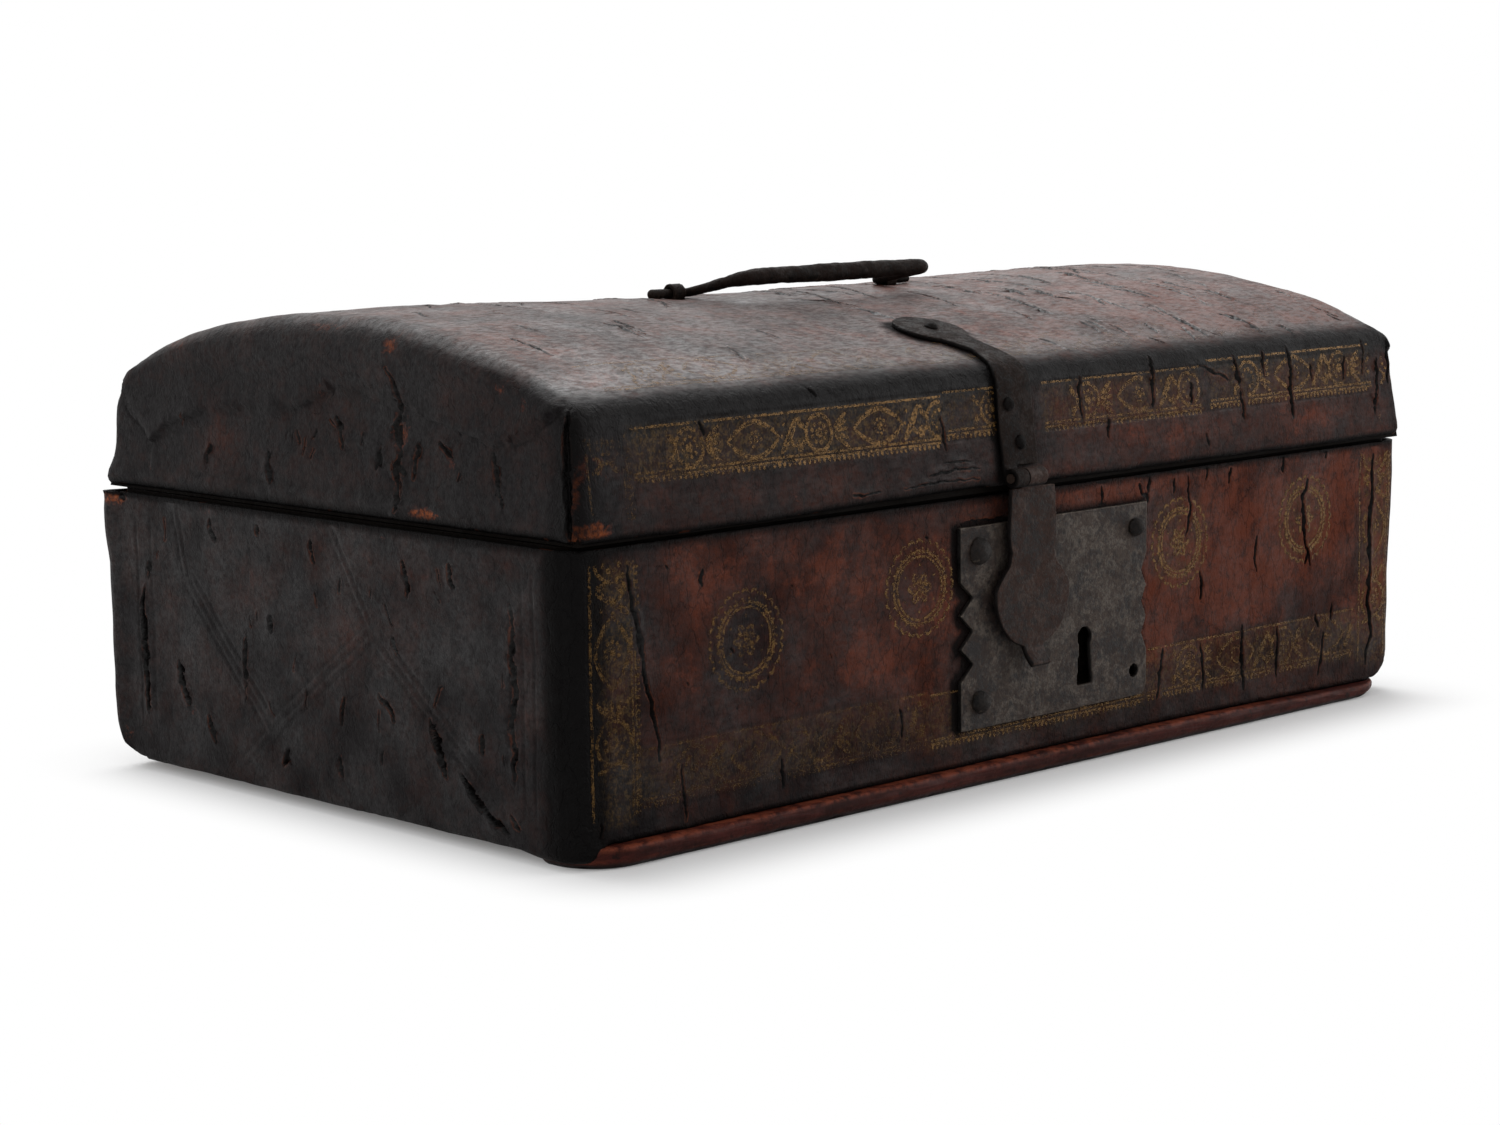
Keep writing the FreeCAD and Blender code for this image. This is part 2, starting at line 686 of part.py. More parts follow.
def handle_eye(x):
    """Split pin round the handle's tail, driven through the lid and clinched inside."""
    y0 = -eye_shank_y / 2
    outer = tail_radius + eye_gap + eye_band
    ring = cylinder(outer, Vector(x - eye_width / 2, 0, handle_z), Vector(x + eye_width / 2, 0, handle_z))
    hole = cylinder(tail_radius + eye_gap, Vector(x - overrun, 0, handle_z), Vector(x + overrun, 0, handle_z))
    inside = lid_inner_top - lining
    shank = box(x - eye_shank_x / 2, x + eye_shank_x / 2, y0, -y0, inside - eye_band,
                handle_z - outer + eye_band / 2)
    feet = box(x - eye_shank_x / 2, x + eye_shank_x / 2, -eye_foot_length, eye_foot_length,
               inside - eye_band - eye_gap, inside - eye_gap)
    return fuse(ring.cut(hole), shank, feet)


def bail_stations():
    """Places, directions and radii along the handle, in its own plane: u along X, v outwards."""
    tail = eye_x + tail_out
    rounding = tail_radius / 2
    half = [(tail, 0.0, 0.0, rounding), (tail - rounding, 0.0, 0.0, tail_radius),
            (arm_x + elbow_radius, 0.0, 0.0, tail_radius)]
    for i in range(1, bend_steps + 1):
        turn = i * pi / 2 / bend_steps
        x = arm_x + elbow_radius * (1 - sin(turn))
        half.append((x, elbow_radius * (1 - cos(turn)), turn, tail_radius))
    half.append((arm_x, (elbow_radius + grip_reach) / 2, pi / 2, arm_radius))
    for i in range(bend_steps + 1):
        share = i / bend_steps
        turn = share * pi / 2
        radius = arm_radius + (grip_radius - arm_radius) * (1 + 2 * share) / 4
        half.append((arm_x - corner_bend * (1 - cos(turn)), grip_reach - corner_bend * (1 - sin(turn)),
                     pi / 2 - turn, radius))
    half.append((arm_x / 2, grip_reach, 0.0, grip_radius))
    return half


def handle_bail():
    """Forged handle: two tails, two arms and a thicker grip, leaning forward at rest."""
    half = bail_stations()
    stations = [(u, v, turn, radius, -1) for u, v, turn, radius in half]
    stations += [(-u, v, turn, radius, 1) for u, v, turn, radius in half[::-1]]
    rings = []
    tilt = handle_rest_angle * pi / 180
    for u, v, turn, radius, side in stations:
        along = Vector(-cos(turn), side * sin(turn) * cos(tilt), -side * sin(turn) * sin(tilt))
        place = Vector(u, -v * cos(tilt), handle_z + v * sin(tilt))
        rings.append(Part.Wire(Part.makeCircle(radius, place, along)))
    return Part.makeLoft(rings, True, True)


def hinge_spans(x):
    """X spans of the two outer knuckles and the middle one of a back hinge."""
    left = x - hinge_width / 2
    third = (hinge_width - 2 * knuckle_gap) / 3
    outer = [(left, left + third), (left + 2 * third + 2 * knuckle_gap, left + hinge_width)]
    return outer, (left + third + knuckle_gap, left + 2 * third + knuckle_gap)


def lower_leaf(x):
    """Leaf on the back of the body, stepped out to the hinge pin."""
    top = hinge_axis_z - hinge_knuckle_radius
    bend = rim_height - joggle_height - hinge_knuckle_radius
    out = hinge_axis_y - hinge_knuckle_radius
    outline = strip([(half_depth, bend - lower_leaf_length), (half_depth, bend),
                     (out, top), (out, hinge_axis_z)], -leaf_thickness)
    sheet = prism_x(outline, x - hinge_width / 2, x + hinge_width / 2)
    outer, middle = hinge_spans(x)
    rolls = [knuckle(a, b, hinge_axis_y, hinge_axis_z, hinge_knuckle_radius) for a, b in outer]
    gap = box(middle[0] - knuckle_gap, middle[1] + knuckle_gap, half_depth, hinge_axis_y + overrun,
              top - knuckle_gap, hinge_axis_z + overrun)
    leaf = fuse(sheet, *rolls)
    return leaf.cut([gap, bore(x - hinge_width, x + hinge_width, hinge_axis_y, hinge_axis_z)])


def upper_leaf(x):
    """Leaf on the lid's back wall."""
    start = hinge_axis_z
    end = lip_z + upper_leaf_length
    outline = strip([(wall_y(1, 0.0, end), end), (wall_y(1, 0.0, lip_z), lip_z),
                     (wall_y(1, 0.0, lip_z), start)], leaf_thickness)
    sheet = prism_x(outline, x - hinge_width / 2, x + hinge_width / 2)
    outer, middle = hinge_spans(x)
    roll = knuckle(middle[0], middle[1], hinge_axis_y, hinge_axis_z, hinge_knuckle_radius)
    leaf = fuse(sheet, roll)
    clear = hinge_knuckle_radius + knuckle_gap
    far = hinge_axis_y + overrun
    gaps = [box(a - overrun if i == 0 else a - knuckle_gap, b + knuckle_gap if i == 0 else b + overrun,
                half_depth, far, start - overrun, start + clear) for i, (a, b) in enumerate(outer)]
    return leaf.cut(gaps + [bore(x - hinge_width, x + hinge_width, hinge_axis_y, hinge_axis_z)])


def hinge_pin(x):
    """Pin of a back hinge."""
    half = hinge_width / 2 + knuckle_gap
    return cylinder(pin_radius, Vector(x - half, hinge_axis_y, hinge_axis_z),
                    Vector(x + half, hinge_axis_y, hinge_axis_z))


def lower_hinge_nails():
    """Two nails in each lower leaf."""
    nails = []
    bend = rim_height - joggle_height - hinge_knuckle_radius
    for x in (-hinge_x, hinge_x):
        for i in range(2):
            z = bend - hinge_nail_first / 2 - i * hinge_nail_pitch
            nails.append(nail(Vector(x, half_depth + leaf_thickness, z), Vector(0, 1, 0),
                              hinge_nail_head_radius, nail_length))
    return nails


def upper_hinge_nails():
    """One nail in each side of the upper leaves, square to the leaning wall."""
    nails = []
    slope = back_lean / eave_height
    lean = sqrt(1 + slope * slope)
    z = lip_z + hinge_nail_first
    seat_y = wall_y(1, 0.0, z) + leaf_thickness / lean
    seat_z = z + leaf_thickness * slope / lean
    for x in (-hinge_x, hinge_x):
        for side in (-1, 1):
            place = Vector(x + side * hinge_width / 4, seat_y, seat_z)
            nails.append(nail(place, Vector(0, 1, slope), hinge_nail_head_radius, nail_length))
    return nails


def corner_nails():
    """Nails that hold the long boards to the end boards."""
    place = inner_x + joint_nail_head_radius + joint_nail_margin
    low = base_thickness + corner_nail_rise
    pitch = (board_top - corner_nail_drop - low) / (corner_nail_count - 1)
    nails = []
    for side in (-1, 1):
        for x in (-place, place):
            for i in range(corner_nail_count):
                nails.append(joint_nail(Vector(x, side * board_y, low + i * pitch), Vector(0, side, 0)))
    return nails


def base_nails():
    """Nails that hold the base board to the long boards."""
    nails = []
    first = -(base_nail_count - 1) * base_nail_spacing / 2
    for side in (-1, 1):
        y = side * (board_y + inner_y) / 2
        for i in range(base_nail_count):
            nails.append(joint_nail(Vector(first + i * base_nail_spacing, y, 0), Vector(0, 0, -1)))
    return nails


def lid_nails():
    """Nails that hold the bent top board to the arched ends."""
    nails = []
    first = -(lid_nail_count - 1) * lid_nail_spacing / 2
    x = (board_x + inner_x) / 2 - end_lean
    for side in (-1, 1):
        for i in range(lid_nail_count):
            y = first + i * lid_nail_spacing
            radius = crown_radius - leather - joint_nail_sink
            rise = sqrt(radius * radius - y * y)
            seat = Vector(side * x, y, crown_centre_z + rise)
            nails.append(joint_nail(seat, Vector(0, y, rise)))
    return nails


def build():
    """All sub-parts by node name."""
    parts = {}
    base = base_board()
    front, back, left, right = body_boards()
    skin = body_leather(base)
    mortise = lock_mortise()
    slot = staple_slot()
    skin = skin.cut([mortise, slot])
    front = front.cut([mortise, slot])
    plate = lock_plate()
    places = plate_nail_places()[0]
    plate_nails = [nail(Vector(x, plate_face, z), Vector(0, -1, 0), radius, nail_length)
                   for (x, z), radius in zip(places, plate_nail_head_radii)]
    plate, skin, front = drive(plate_nails, plate, skin, front)
    corner = corner_nails()
    front, back, left, right = drive(corner, front, back, left, right)
    foot_nails = base_nails()
    base, front, back = drive(foot_nails, base, front, back)
    lower = lower_hinge_nails()
    leaves = [lower_leaf(x) for x in (-hinge_x, hinge_x)]
    leaves = drive(lower, *leaves)
    skin, back = drive(lower, skin, back)
    parts["base_board"] = [base]
    parts["front_board"] = [front]
    parts["back_board"] = [back]
    parts["left_end_board"] = [left]
    parts["right_end_board"] = [right]
    parts["body_leather"] = [skin]
    parts["body_lining"] = [body_lining()]
    parts["corner_nails"] = corner
    parts["base_nails"] = foot_nails
    parts["lock_plate"] = [plate]
    parts["lock_plate_nails"] = plate_nails
    parts["lock_case"] = [lock_case()]
    parts["lock_bolt"] = [lock_bolt()]
    parts["bolt_guides"] = bolt_guides()
    parts["bolt_spring"] = [bolt_spring()]
    parts["left_hinge_lower_leaf"] = [leaves[0]]
    parts["right_hinge_lower_leaf"] = [leaves[1]]
    parts["lower_hinge_nails"] = lower
    parts["left_hinge_pin"] = [hinge_pin(-hinge_x)]
    parts["right_hinge_pin"] = [hinge_pin(hinge_x)]

    top, lid_front, lid_back, lid_left, lid_right = lid_boards()
    lid_skin = lid_leather()
    paper = lid_lining()
    eyes = [handle_eye(x) for x in (-eye_x, eye_x)]
    top, lid_skin, paper = drive(eyes, top, lid_skin, paper)
    strap_set = strap_nails()
    strap, lid_skin, top, lid_front = drive(strap_set, hasp_strap(), lid_skin, top, lid_front)
    upper = upper_hinge_nails()
    upper_leaves = [upper_leaf(x) for x in (-hinge_x, hinge_x)]
    upper_leaves = drive(upper, *upper_leaves)
    lid_skin, lid_back, top = drive(upper, lid_skin, lid_back, top)
    board_nails = lid_nails()
    top, lid_left, lid_right = drive(board_nails, top, lid_left, lid_right)
    staple = hasp_staple()
    parts["lid_top_board"] = [top]
    parts["lid_front_rail"] = [lid_front]
    parts["lid_back_rail"] = [lid_back]
    parts["lid_left_end"] = [lid_left]
    parts["lid_right_end"] = [lid_right]
    parts["lid_leather"] = [lid_skin]
    parts["lid_lining"] = [paper]
    parts["lid_nails"] = board_nails
    parts["handle_eye_left"] = [eyes[0]]
    parts["handle_eye_right"] = [eyes[1]]
    parts["handle_bail"] = [handle_bail()]
    parts["hasp_strap"] = [strap]
    parts["hasp_strap_nails"] = strap_set
    parts["hasp_pin"] = [hasp_pin()]
    parts["hasp"] = [hasp().cut(staple)]
    parts["hasp_staple"] = [staple]
    parts["left_hinge_upper_leaf"] = [upper_leaves[0]]
    parts["right_hinge_upper_leaf"] = [upper_leaves[1]]
    parts["upper_hinge_nails"] = upper
    return parts


def main():
    """Write one STEP file for each sub-part."""
    os.makedirs("parts", exist_ok=True)
    for name, shapes in build().items():
        solids = [solid for shape in shapes for solid in shape.Solids]
        shape = solids[0] if len(solids) == 1 else Part.makeCompound(solids)
        shape.exportStep("parts/" + name + ".step")
        valid = all(solid.isValid() for solid in solids)
        print(name, len(solids), "solids", round(shape.Volume, 1), "mm3", "valid" if valid else "INVALID")


main()
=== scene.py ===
"""Dressed model of an old leather-covered document box with wrought iron fittings.

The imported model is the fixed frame. Around it this script lays torn and tooled leather skins,
worn gilt borders, hammered ironwork, the worn base board and the finishes of the wood and
paper inside, and sets a camera and soft studio light. Lengths are in millimetres until a mesh
is made, and meshes are in metres.
"""

import json
import logging
import math
import random
from dataclasses import dataclass, field
from enum import Enum
from typing import Iterator, Union

import bmesh
import bpy
import numpy as np
from mathutils import Matrix, Vector, noise
from mathutils.bvhtree import BVHTree

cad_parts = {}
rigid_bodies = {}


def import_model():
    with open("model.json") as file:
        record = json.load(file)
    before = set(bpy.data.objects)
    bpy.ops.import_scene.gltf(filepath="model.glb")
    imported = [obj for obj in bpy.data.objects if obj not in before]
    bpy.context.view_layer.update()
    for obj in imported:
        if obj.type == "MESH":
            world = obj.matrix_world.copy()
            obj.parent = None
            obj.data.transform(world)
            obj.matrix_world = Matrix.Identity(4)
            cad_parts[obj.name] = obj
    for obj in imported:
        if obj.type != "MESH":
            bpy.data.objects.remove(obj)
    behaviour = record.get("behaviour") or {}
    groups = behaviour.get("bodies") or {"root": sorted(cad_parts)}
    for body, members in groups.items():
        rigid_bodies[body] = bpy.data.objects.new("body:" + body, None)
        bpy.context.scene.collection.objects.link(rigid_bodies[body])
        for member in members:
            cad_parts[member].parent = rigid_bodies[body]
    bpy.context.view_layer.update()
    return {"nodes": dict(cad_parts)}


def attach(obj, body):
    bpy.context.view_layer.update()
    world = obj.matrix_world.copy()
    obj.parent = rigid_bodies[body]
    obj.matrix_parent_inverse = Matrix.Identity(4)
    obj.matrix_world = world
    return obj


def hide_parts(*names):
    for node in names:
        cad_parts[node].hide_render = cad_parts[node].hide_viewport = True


for leftover in list(bpy.data.objects):
    bpy.data.objects.remove(leftover)

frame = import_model()

LOG = logging.getLogger("document_box")
MM = 0.001
Path = tuple[tuple[float, float], ...]


# Small helpers

def smooth(value: np.ndarray, low: float, high: float) -> np.ndarray:
    """Rises smoothly from 0 at low to 1 at high.

    Args:
        value: Numbers to shape.
        low: Where the rise starts.
        high: Where it ends.

    Returns:
        The shaped numbers, from 0 to 1.
    """
    part = np.clip((value - low) / (high - low), 0.0, 1.0)
    return part * part * (3.0 - 2.0 * part)


def clouds(points: np.ndarray, size: float, seed: int = 0, octaves: int = 2) -> np.ndarray:
    """Soft noise over points in space.

    Args:
        points: Places in millimetres, one a row.
        size: Width of one swell in millimetres.
        seed: Which of many fields of noise to read.
        octaves: How many finer layers are added.

    Returns:
        Values of about -1 to 1.
    """
    shift = Vector((seed * 31.7, seed * -17.3, seed * 7.9))
    scale = 1.0 / size
    values = (noise.fractal(Vector(p) * scale + shift, 0.9, 2.1, octaves) for p in points)
    return np.fromiter(values, float, len(points))


def spread(low: float, high: float, step: float, fine: float, margin: float) -> np.ndarray:
    """Stations along a side, closer together near its two ends.

    Args:
        low: First station.
        high: Last station.
        step: Distance between stations in the middle.
        fine: Distance between stations near the ends.
        margin: How far from each end the close stations reach.

    Returns:
        The stations in rising order.
    """
    near = max(2, round(margin / fine))
    far = max(2, round((high - low - 2 * margin) / step))
    return np.concatenate((
        np.linspace(low, low + margin, near, endpoint=False),
        np.linspace(low + margin, high - margin, far, endpoint=False),
        np.linspace(high - margin, high, near + 1),
    ))


def walk(path: np.ndarray, step: float) -> np.ndarray:
    """Divides a line of points into even steps.

    Args:
        path: Points, one a row.
        step: Wanted length of a step.

    Returns:
        The points of the divided line.
    """
    path = np.asarray(path, float)
    runs = np.linalg.norm(np.diff(path, axis=0), axis=1)
    along = np.concatenate(([0.0], np.cumsum(runs)))
    count = max(2, int(along[-1] / step) + 2)
    places = np.linspace(0.0, along[-1], count)
    return np.stack([np.interp(places, along, axis) for axis in path.T], axis=1)


def bend(path: Path, step: float = 0.7) -> np.ndarray:
    """Draws a smooth curve through a few points.

    Args:
        path: The points that the curve goes through.
        step: Length of a step on the finished line.

    Returns:
        The points of the curve.
    """
    raw = np.asarray(path, float)
    if len(raw) < 3:
        return walk(raw, step)
    ends = np.vstack((2 * raw[0] - raw[1], raw, 2 * raw[-1] - raw[-2]))
    part = np.linspace(0.0, 1.0, 9, endpoint=False)[:, None]
    runs = []
    for before, first, last, after in zip(ends, ends[1:], ends[2:], ends[3:]):
        runs.append(0.5 * (2 * first + (last - before) * part
                           + (2 * before - 5 * first + 4 * last - after) * part ** 2
                           + (3 * first - before - 3 * last + after) * part ** 3))
    return walk(np.vstack((*runs, raw[-1:])), step)


def make_mesh(name: str, points: np.ndarray, faces: list) -> bpy.types.Object:
    """Makes an object at the origin from points in millimetres.

    Args:
        name: Name of the piece.
        points: Corners in millimetres.
        faces: Corner numbers of each face.

    Returns:
        The new object, linked to the scene.
    """
    mesh = bpy.data.meshes.new(name)
    mesh.from_pydata((np.asarray(points) * MM).tolist(), [], faces)
    mesh.update()
    piece = bpy.data.objects.new(name, mesh)
    bpy.context.scene.collection.objects.link(piece)
    return piece


def baked(piece: bpy.types.Object) -> bpy.types.Object:
    """Turns a piece's live modifiers into plain mesh and removes them.

    Args:
        piece: The piece.

    Returns:
        The same piece with a plain mesh.
    """
    graph = bpy.context.evaluated_depsgraph_get()
    graph.update()
    mesh = bpy.data.meshes.new_from_object(piece.evaluated_get(graph))
    piece.modifiers.clear()
    old, piece.data = piece.data, mesh
    bpy.data.meshes.remove(old)
    mesh.name = piece.name
    return piece


def corners(piece: bpy.types.Object) -> np.ndarray:
    """Returns the corners of a piece's mesh in millimetres.

    Args:
        piece: The piece.

    Returns:
        Places in millimetres, one row each.
    """
    flat = np.empty(len(piece.data.vertices) * 3)
    piece.data.vertices.foreach_get("co", flat)
    return flat.reshape(-1, 3) / MM


def move_corners(piece: bpy.types.Object, points: np.ndarray) -> None:
    """Puts a piece's corners at new places, given in millimetres."""
    piece.data.vertices.foreach_set("co", (points * MM).ravel())
    piece.data.update()


def outward(piece: bpy.types.Object) -> np.ndarray:
    """Returns the smooth outward direction at each corner.

    Args:
        piece: The piece.

    Returns:
        Unit vectors, one row for each corner.
    """
    flat = np.empty(len(piece.data.vertices) * 3)
    piece.data.vertex_normals.foreach_get("vector", flat)
    return flat.reshape(-1, 3)


def stored(piece: bpy.types.Object, name: str) -> np.ndarray:
    """Reads the number that each corner has under a name.

    Args:
        piece: The piece.
        name: Name of the attribute.

    Returns:
        One number for each corner.
    """
    values = np.empty(len(piece.data.vertices))
    piece.data.attributes[name].data.foreach_get("value", values)
    return values


def write_value(piece: bpy.types.Object, name: str, values: np.ndarray) -> None:
    """Stores one number for each corner under a name that materials read."""
    layer = piece.data.attributes.new(name, "FLOAT", "POINT")
    layer.data.foreach_set("value", np.asarray(values, dtype=np.float32))


def rings(rows: int, wide: int) -> list[tuple[int, ...]]:
    """Returns the faces between rows of corners that each go once round."""
    return [(row * wide + n, row * wide + (n + 1) % wide,
             (row + 1) * wide + (n + 1) % wide, (row + 1) * wide + n)
            for row in range(rows - 1) for n in range(wide)]


def hand_over(piece: bpy.types.Object, finish: bpy.types.Material, body: str, slot: str,
              *nodes: str) -> bpy.types.Object:
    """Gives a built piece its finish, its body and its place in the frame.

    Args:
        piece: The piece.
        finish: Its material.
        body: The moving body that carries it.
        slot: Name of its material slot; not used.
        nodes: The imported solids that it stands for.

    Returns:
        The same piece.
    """
    piece.data.polygons.foreach_set("use_smooth", [True] * len(piece.data.polygons))
    piece.data.update()
    piece.data.materials.clear()
    piece.data.materials.append(finish)
    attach(piece, body)
    if nodes:
        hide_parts(*nodes)
    LOG.info("%s: %d faces", piece.name, len(piece.data.polygons))
    return piece


# Sides, surfaces and marks

class Side(Enum):
    """A side of the box: the direction looked along, and the two axes drawn on it."""

    FRONT = ((0.0, 1.0, 0.0), 0, 2)
    BACK = ((0.0, -1.0, 0.0), 0, 2)
    LEFT = ((1.0, 0.0, 0.0), 1, 2)
    RIGHT = ((-1.0, 0.0, 0.0), 1, 2)
    TOP = ((0.0, 0.0, -1.0), 0, 1)

    @property
    def look(self) -> Vector:
        """Direction from outside towards this side."""
        return Vector(self.value[0])

    def outside(self, across: float, up: float) -> Vector:
        """Returns a place well outside the box, opposite a place on this side.

        Args:
            across: Place across the side.
            up: Place up the side.

        Returns:
            The place in millimetres.
        """
        place = self.look * -400.0
        place[self.value[1]] = across
        place[self.value[2]] = up
        return place

    def flat(self, points: np.ndarray) -> np.ndarray:
        """Returns the two coordinates that are drawn on this side."""
        return points[:, [self.value[1], self.value[2]]]

    def faces(self, points: np.ndarray, reach: float) -> np.ndarray:
        """Tells which points lie further out than reach on this side."""
        return (points * np.array(self.look)).sum(1) < -reach


class Surface:
    """A mesh in millimetres that skins, marks and gilt are laid on."""

    def __init__(self, points: np.ndarray, faces: list) -> None:
        """Stores a search tree of the faces."""
        self.tree = BVHTree.FromPolygons([tuple(p) for p in points], faces)

    @classmethod
    def of(cls, piece: bpy.types.Object) -> "Surface":
        """Reads the surface of an object."""
        return cls(corners(piece), [tuple(face.vertices) for face in piece.data.polygons])

    def lay(self, side: Side, path: np.ndarray) -> np.ndarray:
        """Lays a flat line on the surface.

        Args:
            side: The side that the line is drawn on.
            path: Flat points.

        Returns:
            Points in space, with those that miss the surface left out.
        """
        hits = (self.tree.ray_cast(side.outside(u, v), side.look)[0] for u, v in path)
        return np.array([tuple(hit) for hit in hits if hit is not None]).reshape(-1, 3)

    def snap(self, points: np.ndarray) -> np.ndarray:
        """Moves points to the nearest place on the surface."""
        return np.array([tuple(self.tree.find_nearest(Vector(p))[0]) for p in points])


class Work(Enum):
    """What made a line in the leather."""

    RIP = "rip"
    TOOL = "tool"
    FOLD = "fold"


@dataclass(frozen=True)
class Mark:
    """One line in the leather, drawn flat on a side."""

    side: Side
    path: Path
    work: Work = Work.RIP
    half_width: float = 0.42
    depth: float = 1.15
    lift: float = 0.42
    ragged: float = 0.4

    def drawn(self, seed: int) -> np.ndarray:
        """Returns the flat line with the small wander of a real one.

        Args:
            seed: Which wander to use.

        Returns:
            Flat points, about a millimetre apart.
        """
        line = walk(np.array(self.path), 1.1)
        heading = np.gradient(line, axis=0)
        length = np.linalg.norm(heading, axis=1, keepdims=True)
        aside = np.stack((-heading[:, 1], heading[:, 0]), axis=1) / np.maximum(length, 1e-6)
        place = np.column_stack((np.arange(len(line)) * 1.1, np.zeros((len(line), 2))))
        wander = clouds(place, 4.5, seed, 3) + 0.5 * clouds(place, 1.7, seed + 7, 1)
        return line + aside * (wander * self.ragged)[:, None]


class MarkField:
    """The lines of one skin, laid on its surface, and what they do to a place near them."""

    def __init__(self, marks: list[Mark], surface: Surface) -> None:
        """Lays every mark on the surface."""
        self.lines: list[tuple[Mark, np.ndarray]] = []
        for seed, mark in enumerate(marks):
            line = surface.lay(mark.side, mark.drawn(seed))
            if len(line) > 1:
                self.lines.append((mark, line))

    @staticmethod
    def _measure(points: np.ndarray, line: np.ndarray, look: Vector) -> tuple:
        """Finds each point's nearest place on one line.

        Args:
            points: Places in space.
            line: Points of the line.
            look: Direction into the surface.

        Returns:
            Distances, places along the line from 0 to 1, and sides of -1 or 1.
        """
        start, run = line[:-1], np.diff(line, axis=0)
        square = np.maximum((run ** 2).sum(1), 1e-9)
        offset = points[:, None, :] - start[None, :, :]
        part = np.clip((offset * run[None]).sum(2) / square, 0.0, 1.0)
        gap = offset - part[..., None] * run[None]
        away = np.sqrt((gap ** 2).sum(2))
        best = away.argmin(1)
        row = np.arange(len(points))
        over = np.cross(run[best], np.array(look))
        hand = np.sign((over * gap[row, best]).sum(1))
        return away[row, best], (best + part[row, best]) / len(run), hand

    def each(self, points: np.ndarray, reach: float) -> Iterator[tuple]:
        """Yields each mark with the points near it and their measures."""
        for mark, line in self.lines:
            low, high = line.min(0) - reach, line.max(0) + reach
            near = np.flatnonzero(((points > low) & (points < high)).all(1))
            if len(near):
                away, along, hand = self._measure(points[near], line, mark.side.look)
                keep = away < reach
                yield mark, near[keep], away[keep], along[keep], hand[keep]

    def closeness(self, points: np.ndarray, reach: float) -> tuple[np.ndarray, np.ndarray]:
        """Measures how near points are to a rip and to any line.

        Args:
            points: Places in millimetres, one row each.
            reach: How far from a mark the search goes.

        Returns:
            Distances to the nearest rip and to the nearest mark.
        """
        to_rip = np.full(len(points), 1e3)
        to_any = np.full(len(points), 1e3)
        for mark, near, away, _, _ in self.each(points, reach):
            np.minimum.at(to_any, near, away)
            if mark.work is Work.RIP:
                np.minimum.at(to_rip, near, away)
        return to_rip, to_any

    def shape(self, points: np.ndarray) -> tuple[np.ndarray, np.ndarray, np.ndarray]:
        """Works out what the lines do to the leather.

        Args:
            points: Places on the skin.

        Returns:
            Heights to add, distances outside the nearest gap's edge, and masks of the tooling and
            of the painted shade along fold edges.
        """
        height = np.zeros(len(points))
        gap = np.full(len(points), 9.0)
        tooling_and_fold_shade = np.zeros(len(points))
        for mark, near, away, along, hand in self.each(points, 9.0):
            end = np.sin(np.pi * np.clip(along, 0.0, 1.0))
            if mark.work is Work.RIP:
                away = np.abs(hand * away - 0.55 * clouds(points[near], 3.6, 43, 2))
                wide = mark.half_width * (end + 1e-4) ** 0.45
                wide *= 1.0 + 0.6 * clouds(points[near], 3.4, 41, 2)
                edge = away - wide
                torn = smooth(-edge, -0.15, 0.3) * np.minimum(1.0, 2.5 * end)
                curl = np.where(hand > 0, 1.0, 0.45) * np.exp(-(np.maximum(edge, 0) / 1.5) ** 2)
                height[near] += mark.lift * curl * np.sqrt(end) - mark.depth * torn
                gap[near] = np.minimum(gap[near], edge + 3.0 * (1.0 - np.minimum(1, 9 * end)))
            elif mark.work is Work.TOOL:
                groove = np.exp(-(away / mark.half_width) ** 2) * np.minimum(1.0, 3 * end)
                ridge = np.exp(-((away - 2.1 * mark.half_width) / mark.half_width) ** 2)
                height[near] -= mark.depth * (groove - 0.3 * ridge * np.minimum(1.0, 3 * end))
                tooling_and_fold_shade[near] = np.maximum(tooling_and_fold_shade[near], groove)
            else:
                groove = np.exp(-(away / mark.half_width) ** 2)
                step = np.exp(-away / 3.5) * (hand > 0)
                height[near] += (mark.lift * step - mark.depth * groove) * np.minimum(1, 4 * end)
                # the groove along a fold also feeds the tooling mask, which paints a shade line
                # along the flap's edge
                tooling_and_fold_shade[near] = np.maximum(tooling_and_fold_shade[near], groove)
        return height, gap, tooling_and_fold_shade


# Leather skins

BLUSH = 0.35
END_REACH, FACE_REACH, WALL_REACH = 186.0, 100.0, 60.0
Area = tuple[Side, float, float, float, float]


class Fittings:
    """The ironwork that lies on a skin, and the painted shadow and soiling beside it."""

    def __init__(self, names: tuple[str, ...]) -> None:
        """Stores a search tree and a box for each piece."""
        self.pieces = []
        for name in names:
            place = corners(frame["nodes"][name])
            self.pieces.append((Surface.of(frame["nodes"][name]).tree, place.min(0) - 5.0,
                                place.max(0) + 5.0))

    def beside(self, points: np.ndarray) -> tuple[np.ndarray, np.ndarray]:
        """Returns the distance to the nearest piece, and the painted shadow and soiling from 0 to
        1, at each place.

        Args:
            points: Places in millimetres, one row each.

        Returns:
            The distances and the painted shadow with soiling.
        """
        away, shadow_and_soiling_beside = np.full(len(points), 99.0), np.zeros(len(points))
        for tree, low, high in self.pieces:
            for n in np.flatnonzero(((points > low) & (points < high)).all(1)):
                hit, _, _, far = tree.find_nearest(Vector(points[n]))
                # painted shadow: it reaches further on the left of a piece, where its shadow falls
                reach = 4.2 if hit.x - points[n][0] > 0.5 * far else 2.0
                away[n] = min(away[n], far)
                shadow_and_soiling_beside[n] = max(shadow_and_soiling_beside[n], 1.0 - far / reach)
        return away, smooth(shadow_and_soiling_beside, 0.0, 0.4)


